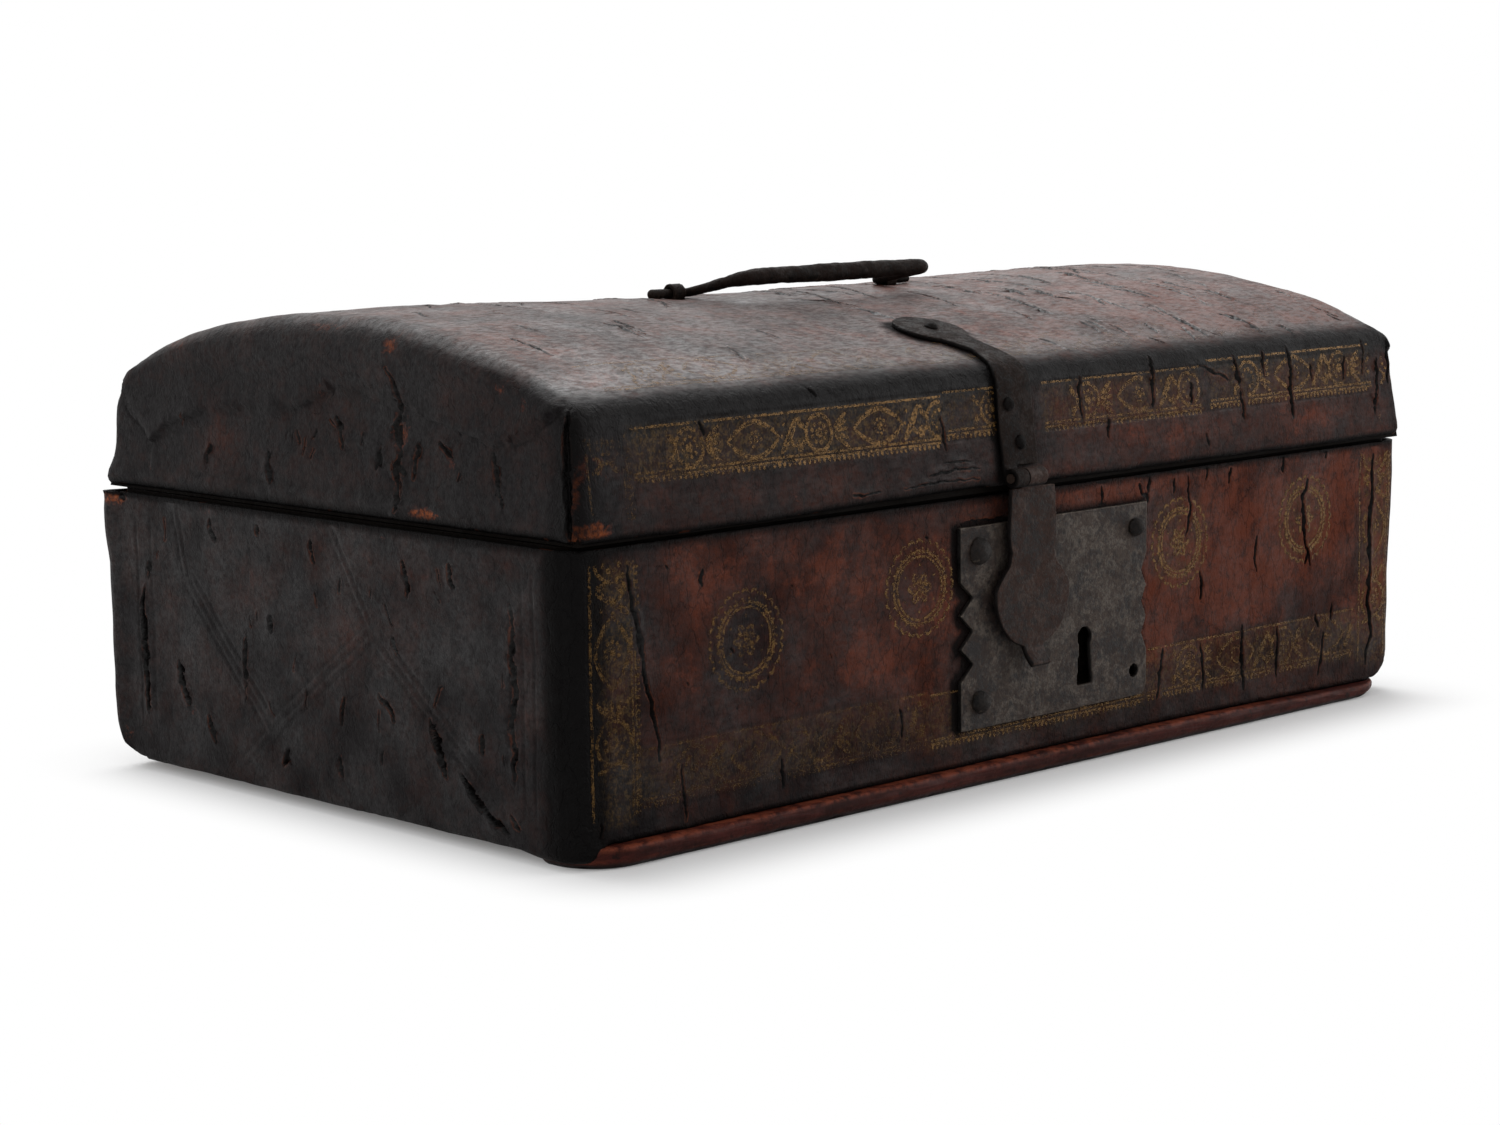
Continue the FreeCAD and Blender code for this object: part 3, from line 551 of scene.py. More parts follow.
@dataclass
class LeatherSkin:
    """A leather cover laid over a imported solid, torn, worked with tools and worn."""

    node: str
    body: str
    thickness: float = 1.9
    bands: tuple[tuple[float, float], ...] = ((4.0, 4.0), (2.2, 2.0), (1.2, 0.0))
    marks: list[Mark] = field(default_factory=list)
    spots: dict[Side, tuple[tuple[float, ...], ...]] = field(default_factory=dict)
    windows: tuple[tuple[float, float, float, float], ...] = ()
    calm: tuple[Area, ...] = ()
    fittings: tuple[str, ...] = ()
    washes: tuple[tuple[Area, float], ...] = ()

    def sheet(self) -> tuple[np.ndarray, list]:
        """Returns the corners and faces of the flat-laid outer sheet."""
        raise NotImplementedError

    def swell(self, points: np.ndarray) -> np.ndarray:
        """Returns the height of the slow shapes of this cover at each place."""
        raise NotImplementedError

    def nudge(self, points: np.ndarray) -> np.ndarray:
        """Returns how far each place is pushed, as offsets in space."""
        raise NotImplementedError

    def tint(self, points: np.ndarray) -> dict[str, np.ndarray]:
        """Returns how red, rubbed, polished and darkened the leather is at each place, the
        darkening partly painted shade.
        """
        raise NotImplementedError

    def blots(self, points: np.ndarray, raw: bool) -> np.ndarray:
        """Returns how strong the spots are at each place.

        Args:
            points: Places on the skin.
            raw: Whether to take the spots of raw hide, which are over BLUSH, or the others.
        """
        worn = np.zeros(len(points))
        for side, spots in self.spots.items():
            (across, up), facing = side.flat(points).T, side.faces(
                points, END_REACH if side in (Side.LEFT, Side.RIGHT) else FACE_REACH)
            for middle, level, half_wide, half_high, amount in spots:
                if (amount > BLUSH) is raw:
                    far = ((across - middle) / half_wide) ** 2 + ((up - level) / half_high) ** 2
                    part = amount * np.exp(-far) * facing
                    worn = np.maximum(worn, part) if raw else worn + part
        return worn

    def wash(self, points: np.ndarray) -> np.ndarray:
        """Returns how much of a thin worn wash of gold is left at each place.

        Args:
            points: Places in millimetres, one row each.

        Returns:
            Shares from 0 to 1.
        """
        left = np.zeros(len(points))
        for area, amount in self.washes:
            inside = smooth(-self._outside(points, area), -1.5, 1.5)
            left = np.maximum(left, amount * inside * area[0].faces(points, WALL_REACH))
        return left

    @staticmethod
    def _outside(points: np.ndarray, area: Area) -> np.ndarray:
        """Returns how far places lie outside an area of a side, below zero inside it.

        Args:
            points: Places in millimetres, one row each.
            area: A side with its left, low, right and high ends.

        Returns:
            Distances in millimetres.
        """
        side, left, low, right, high = area
        across, up = side.flat(points).T
        return np.max((left - across, across - right, low - up, up - high), axis=0)

    def quiet(self, points: np.ndarray) -> np.ndarray:
        """Returns 0 under a fitting that lies on the leather and 1 away from all of them.

        Args:
            points: Places in millimetres, one row each.

        Returns:
            Shares from 0 to 1.
        """
        free = np.ones(len(points))
        for area in self.calm:
            eased = np.minimum(free, smooth(self._outside(points, area), 0.2, 3.5))
            free = np.where(area[0].faces(points, WALL_REACH), eased, free)
        return free

    def _open(self, middle: np.ndarray) -> bool:
        """Tells whether a place on the front is cut away behind a hole in the ironwork."""
        return middle[1] < -100.0 and any(
            left < middle[0] < right and low < middle[2] < high
            for left, low, right, high in self.windows)

    def _shell(self, outer: np.ndarray, faces: list) -> bpy.types.Object:
        """Closes the sheet with an inner face and turned hems.

        Args:
            outer: Corners of the outer sheet.
            faces: Its faces.

        Returns:
            The closed cover, with the attribute outer set to 1 on the outer sheet.
        """
        flat = make_mesh("outer_sheet", outer, faces)
        inner = outer - outward(flat) * self.thickness
        bpy.data.objects.remove(flat)
        count = len(outer)
        used = dict.fromkeys(edge for face in faces for edge in zip(face, face[1:] + face[:1]))
        rim = [(a, b) for a, b in used if (b, a) not in used]
        hems = [(b, a, a + count, b + count) for a, b in rim]
        back = [tuple(n + count for n in reversed(face)) for face in faces]
        cover = make_mesh(self.node + "_skin", np.vstack((outer, inner)), faces + hems + back)
        write_value(cover, "outer", np.repeat((1.0, 0.0), count))
        return cover

    def _refine(self, cover: bpy.types.Object, field_: MarkField, irons: Fittings) -> None:
        """Divides the faces of the outer sheet near the marks and the edges of the fittings.

        Args:
            cover: The sheet.
            field_: The marks on the sheet.
            irons: The fittings that lie on it.
        """
        mesh = bmesh.new()
        mesh.from_mesh(cover.data)
        outer = mesh.verts.layers.float["outer"]
        for rip_reach, any_reach in self.bands:
            mesh.verts.ensure_lookup_table()
            mesh.verts.index_update()
            points = np.array([vert.co[:] for vert in mesh.verts]) / MM
            to_rip, to_any = field_.closeness(points, 5.0)
            away = irons.beside(points)[0]
            near = (to_rip < rip_reach) | (to_any < any_reach)
            near |= (away > 0.25) & (away < any_reach)
            near &= np.array([vert[outer] > 0.5 for vert in mesh.verts])
            edges = [edge for edge in mesh.edges
                     if near[edge.verts[0].index] and near[edge.verts[1].index]]
            bmesh.ops.subdivide_edges(mesh, edges=edges, cuts=1, use_grid_fill=True)
        mesh.to_mesh(cover.data)
        mesh.free()

    def build(self, finish: bpy.types.Material) -> bpy.types.Object:
        """Builds the finished cover.

        Args:
            finish: The leather material.

        Returns:
            The cover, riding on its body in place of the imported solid.
        """
        solid = Surface.of(frame["nodes"][self.node])
        raw, faces = self.sheet()
        faces = [face for face in faces if not self._open(raw[list(face)].mean(0))]
        cover = self._shell(solid.snap(raw), faces)
        field_ = MarkField(self.marks, solid)
        irons = Fittings(self.fittings)
        self._refine(cover, field_, irons)
        points = corners(cover)
        outer = stored(cover, "outer") > 0.5
        points[outer] = solid.snap(points[outer])
        move_corners(cover, points)
        normals = outward(cover)
        height, tooling_and_fold_shade = np.zeros(len(points)), np.zeros(len(points))
        gap = np.full(len(points), 9.0)
        cut, gap[outer], tooling_and_fold_shade[outer] = field_.shape(points[outer])
        free = self.quiet(points[outer])
        height[outer] = (self.swell(points[outer]) + cut) * free
        values = {"gap": gap, "tooling_and_fold_shade": tooling_and_fold_shade, "hem": 1.0 - outer,
                  "bare": self.blots(points, True), **self.tint(points)}
        values["red"] = np.clip(values["red"] + self.blots(points, False), 0.0, 1.0)
        values["wash"] = self.wash(points)
        # painted shadow of the ironwork on the leather beside it
        values["shade_and_soiling"] = np.maximum(values["shade_and_soiling"], 0.98 * irons.beside(points)[1] * outer)
        values["polish"] = values["polish"] * outer * (1.0 - values["shade_and_soiling"])
        height -= 0.35 * smooth(values["bare"], 0.35, 0.7) * outer
        move_corners(cover, points + normals * height[:, None] + self.nudge(points))
        for name, value in values.items():
            write_value(cover, name, value)
        return hand_over(cover, finish, self.body, "aged_leather", self.node)


@dataclass
class BodySkin(LeatherSkin):
    """The cover of the box body: four walls, rounded corners and a turned lower hem."""

    half_length: float = 200.0
    half_depth: float = 116.4
    corner: float = 9.0
    top: float = 92.5
    hem: float = 4.5
    front_hem: float = 6.5
    right_drop: float = 1.6
    step: float = 3.0

    def _plan(self) -> np.ndarray:
        """Returns stations round the walls with their outward plan directions."""
        runs = []
        for turn, (wide, deep) in enumerate(((self.half_length, self.half_depth),
                                             (self.half_depth, self.half_length)) * 2):
            half = wide - self.corner
            along = spread(-half, half, self.step, 1.6, 10.0)[:-1]
            straight = np.column_stack((along, np.full_like(along, -deep),
                                        np.zeros_like(along), -np.ones_like(along)))
            angle = np.radians(np.linspace(-90.0, 0.0, 9, endpoint=False))
            bow = np.column_stack((half + self.corner * np.cos(angle),
                                   -(deep - self.corner) + self.corner * np.sin(angle),
                                   np.cos(angle), np.sin(angle)))
            part = np.vstack((straight, bow))
            quarter = turn * math.pi / 2
            spin = np.array(((math.cos(quarter), math.sin(quarter)),
                             (-math.sin(quarter), math.cos(quarter))))
            runs.append(np.hstack((part[:, :2] @ spin, part[:, 2:] @ spin)))
        return np.vstack(runs)

    def foot(self, x: np.ndarray, y: np.ndarray) -> np.ndarray:
        """Returns the height of the lower edge of the walls.

        Args:
            x: Places along the length.
            y: Places along the depth.

        Returns:
            Heights over the floor.
        """
        side = self.hem - 1.5 * smooth(-y, 92.0, 100.0) * (x < 0)
        line = self.front_hem - 3.5 * smooth(-x, 186.0, 195.0)
        return side + (line - side) * smooth(-y, 108.0, 115.0)

    def sheet(self) -> tuple[np.ndarray, list]:
        """Returns the corners and faces of the outer sheet of the walls."""
        plan = self._plan()
        low = self.foot(plan[:, 0], plan[:, 1])
        rises = ((0.0, 2.0), (0.2, 1.1), (0.9, 0.4), (2.2, 0.0), (4.0, 0.0))
        rows = [np.column_stack((plan[:, :2] - plan[:, 2:] * inset, low + rise))
                for rise, inset in rises]
        foot = low + rises[-1][0]
        count = round((self.top - self.hem) / self.step)
        for part in np.append(np.linspace(0.0, 1.0, count)[1:-1], (0.985, 1.0)):
            rows.append(np.column_stack((plan[:, :2], foot + (self.top - foot) * part)))
        return np.vstack(rows), rings(len(rows), len(plan))

    def swell(self, points: np.ndarray) -> np.ndarray:
        """Returns the slow waves of leather drawn over boards.

        Args:
            points: Places in millimetres, one row each.

        Returns:
            Height over the plain leather for each place.
        """
        edge = smooth(points[:, 2], 6.0, 14.0) * smooth(92.0 - points[:, 2], 0.0, 5.0)
        wave = 0.36 * clouds(points, 48.0, 3) + 0.30 * clouds(points, 15.0, 5)
        fine = 0.20 * clouds(points * (1.0, 1.0, 0.6), 8.0, 9, 2)
        return (wave - 0.15) * (0.3 + 0.7 * edge) + fine

    def nudge(self, points: np.ndarray) -> np.ndarray:
        """Draws out the rear corners and rounds the lower edges at the back and right.

        Args:
            points: Places in millimetres, one row each.

        Returns:
            How far each place moves, one row each.
        """
        x, y, z = points.T
        push = np.zeros_like(points)
        bow_x = np.abs(x) - (self.half_length - self.corner)
        bow_y = y - (self.half_depth - self.corner)
        bow = np.hypot(np.maximum(bow_x, 0.0), np.maximum(bow_y, 0.0)) + 1e-6
        sharp = 2.0 * (np.clip(bow_x, 0, None) / bow) * (np.clip(bow_y, 0, None) / bow)
        near = np.exp(-np.maximum(self.half_length - np.abs(x), 0.0) / 16.0)
        near *= smooth(y, 98.0, 112.0)
        flare = 2.2 * smooth(z, 68.0, 80.0) * near
        drop = self.right_drop * smooth(x, 60.0, 190.0) * smooth(-y, 108.0, 115.0)
        lowest = self.foot(x, y) - drop
        push[:, 0] = np.sign(x) * (3.5 * sharp ** 2 + 0.25 * flare) * (y > 0)
        push[:, 1] = (3.5 * sharp ** 2 + flare) * (y > 0)
        push[:, 2] = -drop * (1.0 - smooth(z, 6.5, 18.0))
        swell = (0.8 + 1.7 * smooth(z, 30.0, 88.0)) * smooth(0.72 * x - 0.69 * y, 196.0, 219.0)
        push[:, 0] += 0.8 * swell
        push[:, 1] -= 0.35 * swell
        for heading, edge, radius in (((0.0, 1.0, 0.0), self.half_depth, 14.0),
                                      ((1.0, 0.0, 0.0), self.half_length, 8.5),
                                      ((0.72, -0.69, 0.0), 220.6, 9.5)):
            out = (points + push) @ np.array(heading) - (edge - radius)
            down = lowest + radius - z - push[:, 2]
            far = np.hypot(out, down)
            cut = np.where((out > 0) & (down > 0) & (far > radius), radius / np.maximum(far, 1), 1)
            push += np.array(heading) * (out * (cut - 1.0))[:, None]
            push[:, 2] -= down * (cut - 1.0)
        return push

    def tint(self, points: np.ndarray) -> dict[str, np.ndarray]:
        """Returns redness, rubbing, polish and the darkening of the walls, partly painted shade.

        Args:
            points: Places in millimetres, one row each.

        Returns:
            Values for each place by the name of their attribute.
        """
        x, y, z = points.T
        front = smooth(-y, 108.0, 115.0)
        left, right = smooth(-x, 188.0, 198.5), smooth(x, 188.0, 198.5)
        red = 0.34 + front * (0.26 + 0.24 * smooth(x, -150.0, 40.0)) - 0.12 * left - 0.05 * right
        red -= 0.34 * front * (1.0 - smooth(z, 14.0, 40.0)) + 0.45 * front * left
        red -= 0.30 * front * smooth(-x, 158.0, 182.0)
        worn_disc = np.exp(-(((x + 132) / 12.5) ** 4 + ((z - 59.5) / 12.5) ** 4))
        red -= 0.32 * front * worn_disc
        red += 0.15 * clouds(points, 30.0, 11) + 0.20 * clouds(points, 9.0, 13, 3)
        rubbed = np.clip(1.1 * left * front + 0.8 * right * front, 0.0, 1.0)
        rubbed = np.maximum(rubbed, 0.35 * left)
        rubbed = np.maximum(rubbed, 0.4 * smooth(z, 88.0, 92.5))
        rubbed = np.clip(rubbed + 0.2 * clouds(points, 20.0, 17), 0.0, 1.0)
        # darker along the near-left corner post and the right front corner
        post = smooth(-0.707 * (x + y), 212.5, 217.0)
        shade_and_soiling = np.maximum(0.985 * post, 0.5 * front * smooth(x, 190.0, 197.0))
        # painted shade in the crevice between the front hem and the base board
        shade_and_soiling = np.maximum(shade_and_soiling, front * (1.0 - smooth(z - self.foot(x, y), 0.4, 2.1)))
        # painted shade on the top rim, in the gap under the lid
        shade_and_soiling = np.maximum(shade_and_soiling, smooth(z, 90.8, 91.6))
        polish = 0.30 - 0.16 * front - 0.13 * left * (1.0 - smooth(z, 10.0, 55.0))
        polish = (polish + 0.2 * clouds(points, 18.0, 19, 3)) * (1.0 - shade_and_soiling)
        return {"red": red, "rubbed": rubbed, "polish": polish, "shade_and_soiling": shade_and_soiling}


@dataclass
class LidSkin(LeatherSkin):
    """The cover of the domed lid: crown, leaning walls and the flaps folded over its ends."""

    top_low: tuple[float, float] = (-197.0, -114.5)
    top_high: tuple[float, float] = (197.0, 110.5)
    lip_low: tuple[float, float] = (-200.0, -119.5)
    lip_high: tuple[float, float] = (200.0, 121.0)
    lip: float = 95.0
    crown_top: float = 152.4
    crown_radius: float = 333.0
    rows: int = 17
    step: float = 3.2
    bands: tuple[tuple[float, float], ...] = ((3.4, 3.2), (1.9, 1.5), (1.0, 0.0))
    rise_x: tuple[float, ...] = (-200, -148, -129, -108, -82, -64, -45, 0, 55, 100, 139, 168, 200)
    rise_z: tuple[float, ...] = (2.3, 2.7, 2.3, 1.7, 0.9, 0.5, 0.1, 0.0, 0.1, 0.9, 1.5, 1.8, 1.9)
    flap_y: tuple[float, ...] = (-120, -106, -89, -81, -64, -46, -38, -25, -4, 6, 16, 41, 62, 69,
                                 85, 92, 120)
    flap_z: tuple[float, ...] = (140, 130, 121, 120, 124, 127, 131, 131, 132, 128, 125, 124, 123,
                                 120, 116, 110, 140)

    def crown(self, y: np.ndarray) -> np.ndarray:
        """Returns the height of the domed top across the box."""
        return self.crown_top - self.crown_radius + np.sqrt(self.crown_radius ** 2 - y * y)

    def sheet(self) -> tuple[np.ndarray, list]:
        """Returns the corners and faces of the outer sheet of the lid."""
        across = spread(self.top_low[0], self.top_high[0], self.step, 1.6, 12.0)
        deep = spread(self.top_low[1], self.top_high[1], self.step, 1.6, 14.0)
        wide, long = len(across), len(deep)
        grid_x, grid_y = np.meshgrid(across, deep)
        top = np.column_stack((grid_x.ravel(), grid_y.ravel(), self.crown(grid_y.ravel())))
        faces = [(row * wide + n, row * wide + n + 1,
                  (row + 1) * wide + n + 1, (row + 1) * wide + n)
                 for row in range(long - 1) for n in range(wide - 1)]
        loop = [*range(wide - 1), *range(wide - 1, wide * (long - 1), wide),
                *range(wide * long - 1, wide * (long - 1), -1),
                *range(wide * (long - 1), 0, -wide)]
        head = top[loop]
        low, high = np.array(self.top_low), np.array(self.top_high)
        foot_low, foot_high = np.array(self.lip_low), np.array(self.lip_high)
        plan = foot_low + (head[:, :2] - low) / (high - low) * (foot_high - foot_low)
        foot = np.column_stack((plan, np.full(len(plan), self.lip)))
        points, above = [top], np.array(loop)
        for row in range(1, self.rows + 1):
            points.append(head + (foot - head) * (row / self.rows))
            below = len(top) + (row - 1) * len(loop) + np.arange(len(loop))
            faces += [tuple(int(n) for n in quad) for quad in
                      zip(below, np.roll(below, -1), np.roll(above, -1), above)]
            above = below
        return np.vstack(points), faces

    def swell(self, points: np.ndarray) -> np.ndarray:
        """Returns the sag of the crown, the end flaps and the slow waves of the lid.

        Args:
            points: Places in millimetres, one row each.

        Returns:
            Height over the plain leather for each place.
        """
        x, y, z = points.T
        crown = smooth(z, 132.5, 142.0)
        rise = np.interp(x, self.rise_x, self.rise_z) * crown
        end = smooth(np.abs(x), 192.5, 195.5) * (1.0 - smooth(z - self.crown(y), -3.5, -0.5))
        hand = np.where(x < 0, 0.0, 6.0)
        edge = np.interp(y * np.where(x < 0, 1.0, -0.95), self.flap_y, self.flap_z) - 0.3 * hand
        lap = smooth(z - edge + 0.9 * clouds(points, 7.0, 23), -0.4, 0.4) * end
        wave = 0.34 * clouds(points, 52.0, 31) + 0.18 * clouds(points, 16.0, 33)
        turned = np.column_stack((x * 0.8 + y * 0.6, y * 0.8 - x * 0.6, z))
        grain = 0.17 * clouds(turned * (0.35, 1.0, 1.0), 6.5, 37, 3)
        pleat = 0.3 * clouds(points * (1.0, 1.0, 0.2), 4.0, 39) * lap
        pleat *= np.exp(-np.maximum(z - edge, 0.0) / 7.0)
        low = 1.0 - smooth(z, 96.5, 104.0)
        side = low * (0.28 * clouds(points * (1.0, 1.0, 0.5), 9.0, 43, 3))
        side -= 1.1 * (1.0 - smooth(z, 95.0, 97.8))
        return rise + 1.4 * lap + pleat + side + grain + (wave - 0.1) * (0.4 + 0.6 * crown)

    def nudge(self, points: np.ndarray) -> np.ndarray:
        """Draws the rear wall of the lid out a little towards its corners.

        Args:
            points: Places in millimetres, one row each.

        Returns:
            How far each place moves, one row each.
        """
        x, y, z = points.T
        push = np.zeros_like(points)
        near = np.exp(-np.maximum(196.0 - np.abs(x), 0.0) / 18.0) * smooth(y, 92.0, 108.0)
        out = (3.0 * np.exp(-((z - 121.0) / 9.0) ** 2)
               + 1.3 * np.exp(-((z - 97.0) / 5.0) ** 2)) * near
        push[:, 1] = out
        push[:, 0] = 0.35 * np.sign(x) * out
        sag = 0.9 * np.exp(-((x + 34.0) / 42.0) ** 2) - 0.6 * np.exp(-((x + 140.0) / 38.0) ** 2)
        sag += 0.45 * clouds(points * (1.0, 0.2, 0.2), 26.0, 45, 2)
        push[:, 2] = sag * smooth(-y, 108.0, 114.0) * (1.0 - smooth(z, 96.0, 108.0))
        return push

    def tint(self, points: np.ndarray) -> dict[str, np.ndarray]:
        """Returns redness, rubbing, polish and the darkening of the lid, partly painted shade.

        Args:
            points: Places in millimetres, one row each.

        Returns:
            Values for each place by the name of their attribute.
        """
        x, y, z = points.T
        front = smooth(-y, 104.0, 114.0)
        left, right = smooth(-x, 186.0, 196.0), smooth(x, 188.0, 196.0)
        crown = smooth(z, 133.5, 137.5) * (1.0 - smooth(np.abs(x), 190.5, 197.0))
        red = 0.34 + front * 0.20 * smooth(x, -60.0, 20.0) - 0.12 * left - 0.1 * right
        red += (0.3 + 0.22 * smooth(x, -40.0, 120.0)) * crown
        red += 0.18 * clouds(points, 34.0, 51) + 0.2 * clouds(points, 9.0, 53, 3)
        red += 0.16 * crown * clouds(points * (0.5, 1.0, 1.0), 12.0, 55, 3)
        shoulder = np.exp(-((z - 130.0) / 4.2) ** 2) * smooth(np.abs(y), 107.5, 113.0)
        rubbed = np.maximum(shoulder, 0.4 * left)
        rubbed = np.maximum(rubbed, front * smooth(-x, 178.0, 197.0))
        rubbed = np.clip(rubbed + 0.25 * clouds(points, 22.0, 57), 0.0, 1.0)
        red -= 0.34 * shoulder + 0.2 * front * smooth(-x, 168.0, 190.0)
        rubbed *= 1.0 - 0.6 * crown
        # painted shade in the open seam at the near-left corner of the lid
        seam = np.exp(-((y + 114.0) / 3.2) ** 2) * smooth(-x, 190.0, 196.0) * (1.0 - crown)
        post = 0.7 * front * smooth(-x, 186.0, 197.0) + 0.4 * front * smooth(x, 190.0, 197.0)
        # a darker band along the shoulders and near the front ends, with the painted shade of the
        # seam
        shade_and_soiling = np.maximum(np.maximum(0.72 * shoulder, 0.97 * seam), post * (1.0 - crown))
        # painted shade along the lower lip, in the gap over the body
        shade_and_soiling = np.maximum(shade_and_soiling, 0.98 * (1.0 - smooth(z, 95.6, 96.6)))
        polish = 0.30 - 0.14 * front - 0.12 * left * (1.0 - crown)
        polish += (0.36 + 0.24 * smooth(x, -20.0, 140.0)) * crown
        polish += 0.42 * np.exp(-((y + 106.0) / 13.0) ** 2) * crown
        polish *= 1.0 + 0.35 * clouds(points, 22.0, 59, 3)
        return {"red": red, "rubbed": rubbed, "polish": np.clip(polish, 0.0, 1.0), "shade_and_soiling": shade_and_soiling}


# Where the leather is torn, worked with tools and folded

def paths(text: str) -> list[Path]:
    """Reads points such as 56,91 55,86 with a semicolon between one line and the next."""
    return [tuple(tuple(float(part) for part in point.split(",")) for point in line.split())
            for line in text.split(";")]


def rips(side: Side, text: str, **sizes: float) -> list[Mark]:
    """Makes torn lines on one side, all with the same sizes.

    A path that runs down has its raised lip on the right. On the left end that lip would hide the
    gap from the camera, so its paths are turned round.
    """
    return [Mark(side, path[::-1] if side is Side.LEFT else path, **sizes)
            for path in paths(text)]


def folds(side: Side, text: str, *sizes: float) -> list[Mark]:
    """Makes folded edges on one side, all with the same sizes."""
    return [Mark(side, path, Work.FOLD, *sizes) for path in paths(text)]


def tooling(side: Side, *paths: Path, width: float = 0.55, depth: float = 0.28) -> list[Mark]:
    """Makes blind tooled grooves on one side."""
    return [Mark(side, path, Work.TOOL, width, depth, 0.0, 0.05) for path in paths]


def fillet(side: Side, start: tuple[float, float], stop: tuple[float, float], count: int = 3,
           pitch: float = 3.1) -> list[Mark]:
    """Makes a band of parallel tooled grooves.

    Args:
        side: The side that the band is on.
        start: Where the middle groove starts.
        stop: Where it stops.
        count: Number of grooves.
        pitch: Distance from one to the next.

    Returns:
        The grooves.
    """
    run = np.subtract(stop, start)
    aside = np.array((-run[1], run[0])) / np.linalg.norm(run)
    paths = []
    for place in range(count):
        shift = aside * pitch * (place - (count - 1) / 2)
        paths.append((tuple(np.add(start, shift)), tuple(np.add(stop, shift))))
    return tooling(side, *paths)


def chance_rips(side: Side, seed: int, count: int, area: tuple[float, float, float, float],
                lengths: tuple[float, float], lean: float = 0.12, wide: float = 1.0) -> list[Mark]:
    """Makes torn lines where the photograph does not reach.

    Args:
        side: The side that they are on.
        seed: Fixed seed of their places.
        count: How many.
        area: Left, low, right and high limits of their starts.
        lengths: Shortest and longest.
        lean: How far they lean from upright, in radians.
        wide: How wide they gape, against the usual width.

    Returns:
        The lines.
    """
    pick = random.Random(seed)
    found = []
    for _ in range(count):
        at = np.array((pick.uniform(area[0], area[2]), pick.uniform(area[1], area[3])))
        length, angle = pick.uniform(*lengths), pick.gauss(0.0, lean)
        path = [tuple(at)]
        for _ in range(3):
            angle += pick.gauss(0.0, 0.16)
            at = at + np.array((math.sin(angle), -math.cos(angle))) * length / 3
            path.append(tuple(at))
        found.append(Mark(side, tuple(path), half_width=wide * pick.uniform(0.2, 0.5),
                          depth=pick.uniform(0.6, 1.2), lift=pick.uniform(0.2, 0.5)))
    return found


BODY_SPOTS = {
    Side.FRONT: ((-150, 74, 7, 12, 0.3), (-76, 47, 15, 9, 0.28), (-100, 76, 10, 6, 0.2),
        (-156, 52, 6, 9, 0.2), (112, 50, 22, 10, 0.26), (66, 54, 9, 9, 0.22),
        (160, 66, 9, 14, 0.2), (92, 78, 9, 8, 0.24), (34, 87.5, 22, 3.4, 0.34),
        (150, 36, 17, 11, -0.34), (118, 26, 22, 9, -0.2), (176, 66, 5, 24, -0.16),
        (62, 78, 8, 9, -0.14), (40, 12, 60, 5, -0.12), (-110, 38, 30, 6, -0.12),
        (-150.5, 80, 1.0, 4, 0.8), (30, 87, 20, 1.6, 0.5), (-30, 88, 14, 2, 0.4),
        (66, 90, 8, 1.5, 0.45)),
    Side.LEFT: ((40, 66, 15, 9, 0.25), (-16, 56, 11, 14, 0.22), (52, 34, 12, 9, 0.2),
        (-46, 70, 14, 8, 0.18), (84, 52, 6, 16, 0.2), (110, 90.5, 5, 2.4, 1.1),
        (77, 30, 3, 9, 0.6), (72, 23, 3, 4, 0.56), (-7, 17, 4, 7, 0.46), (-85, 10, 6, 3, 0.4),
        (110, 12, 4, 4, 0.6), (-88, 36, 2, 12, 0.42), (60, 90, 9, 3, 0.45),
        (-30, 89, 16, 2, 0.5)),
}

LID_SPOTS = {
    Side.LEFT: ((54, 112, 20, 8, 0.22), (-58, 132, 16, 6, 0.16), (62, 104, 16, 6, 0.2),
        (-117, 97.5, 3, 3.4, 1.1), (-116, 110, 1.6, 13, 0.7), (-38, 121, 5, 7, 0.8),
        (-35, 146, 4, 4.5, 0.8), (0, 149.8, 16, 1.8, 0.62), (79, 141, 13, 2.6, 0.6),
        (-86, 136.5, 5, 2.2, 0.66), (-95, 132.5, 4, 2.2, 0.66), (4, 131, 9, 2, 0.55),
        (-38, 106, 2.4, 8, 0.66), (-50, 97.6, 9, 2.6, 1.1), (-72, 96, 9, 1.2, 0.6),
        (-12, 96, 16, 1.0, 0.5), (94, 104, 2, 6, 0.55), (-62, 114, 3, 5, 0.5)),
    Side.FRONT: ((-96, 103, 26, 5, 0.2), (74, 106, 34, 5, 0.2), (150, 104, 24, 5, 0.16),
        (-193, 98, 6, 3.4, 1.2), (-113, 100, 3.5, 3, 0.62), (92, 124, 9, 2, 0.62),
        (72, 99, 10, 3, 0.5), (140, 97, 22, 1.6, 0.5)),
}

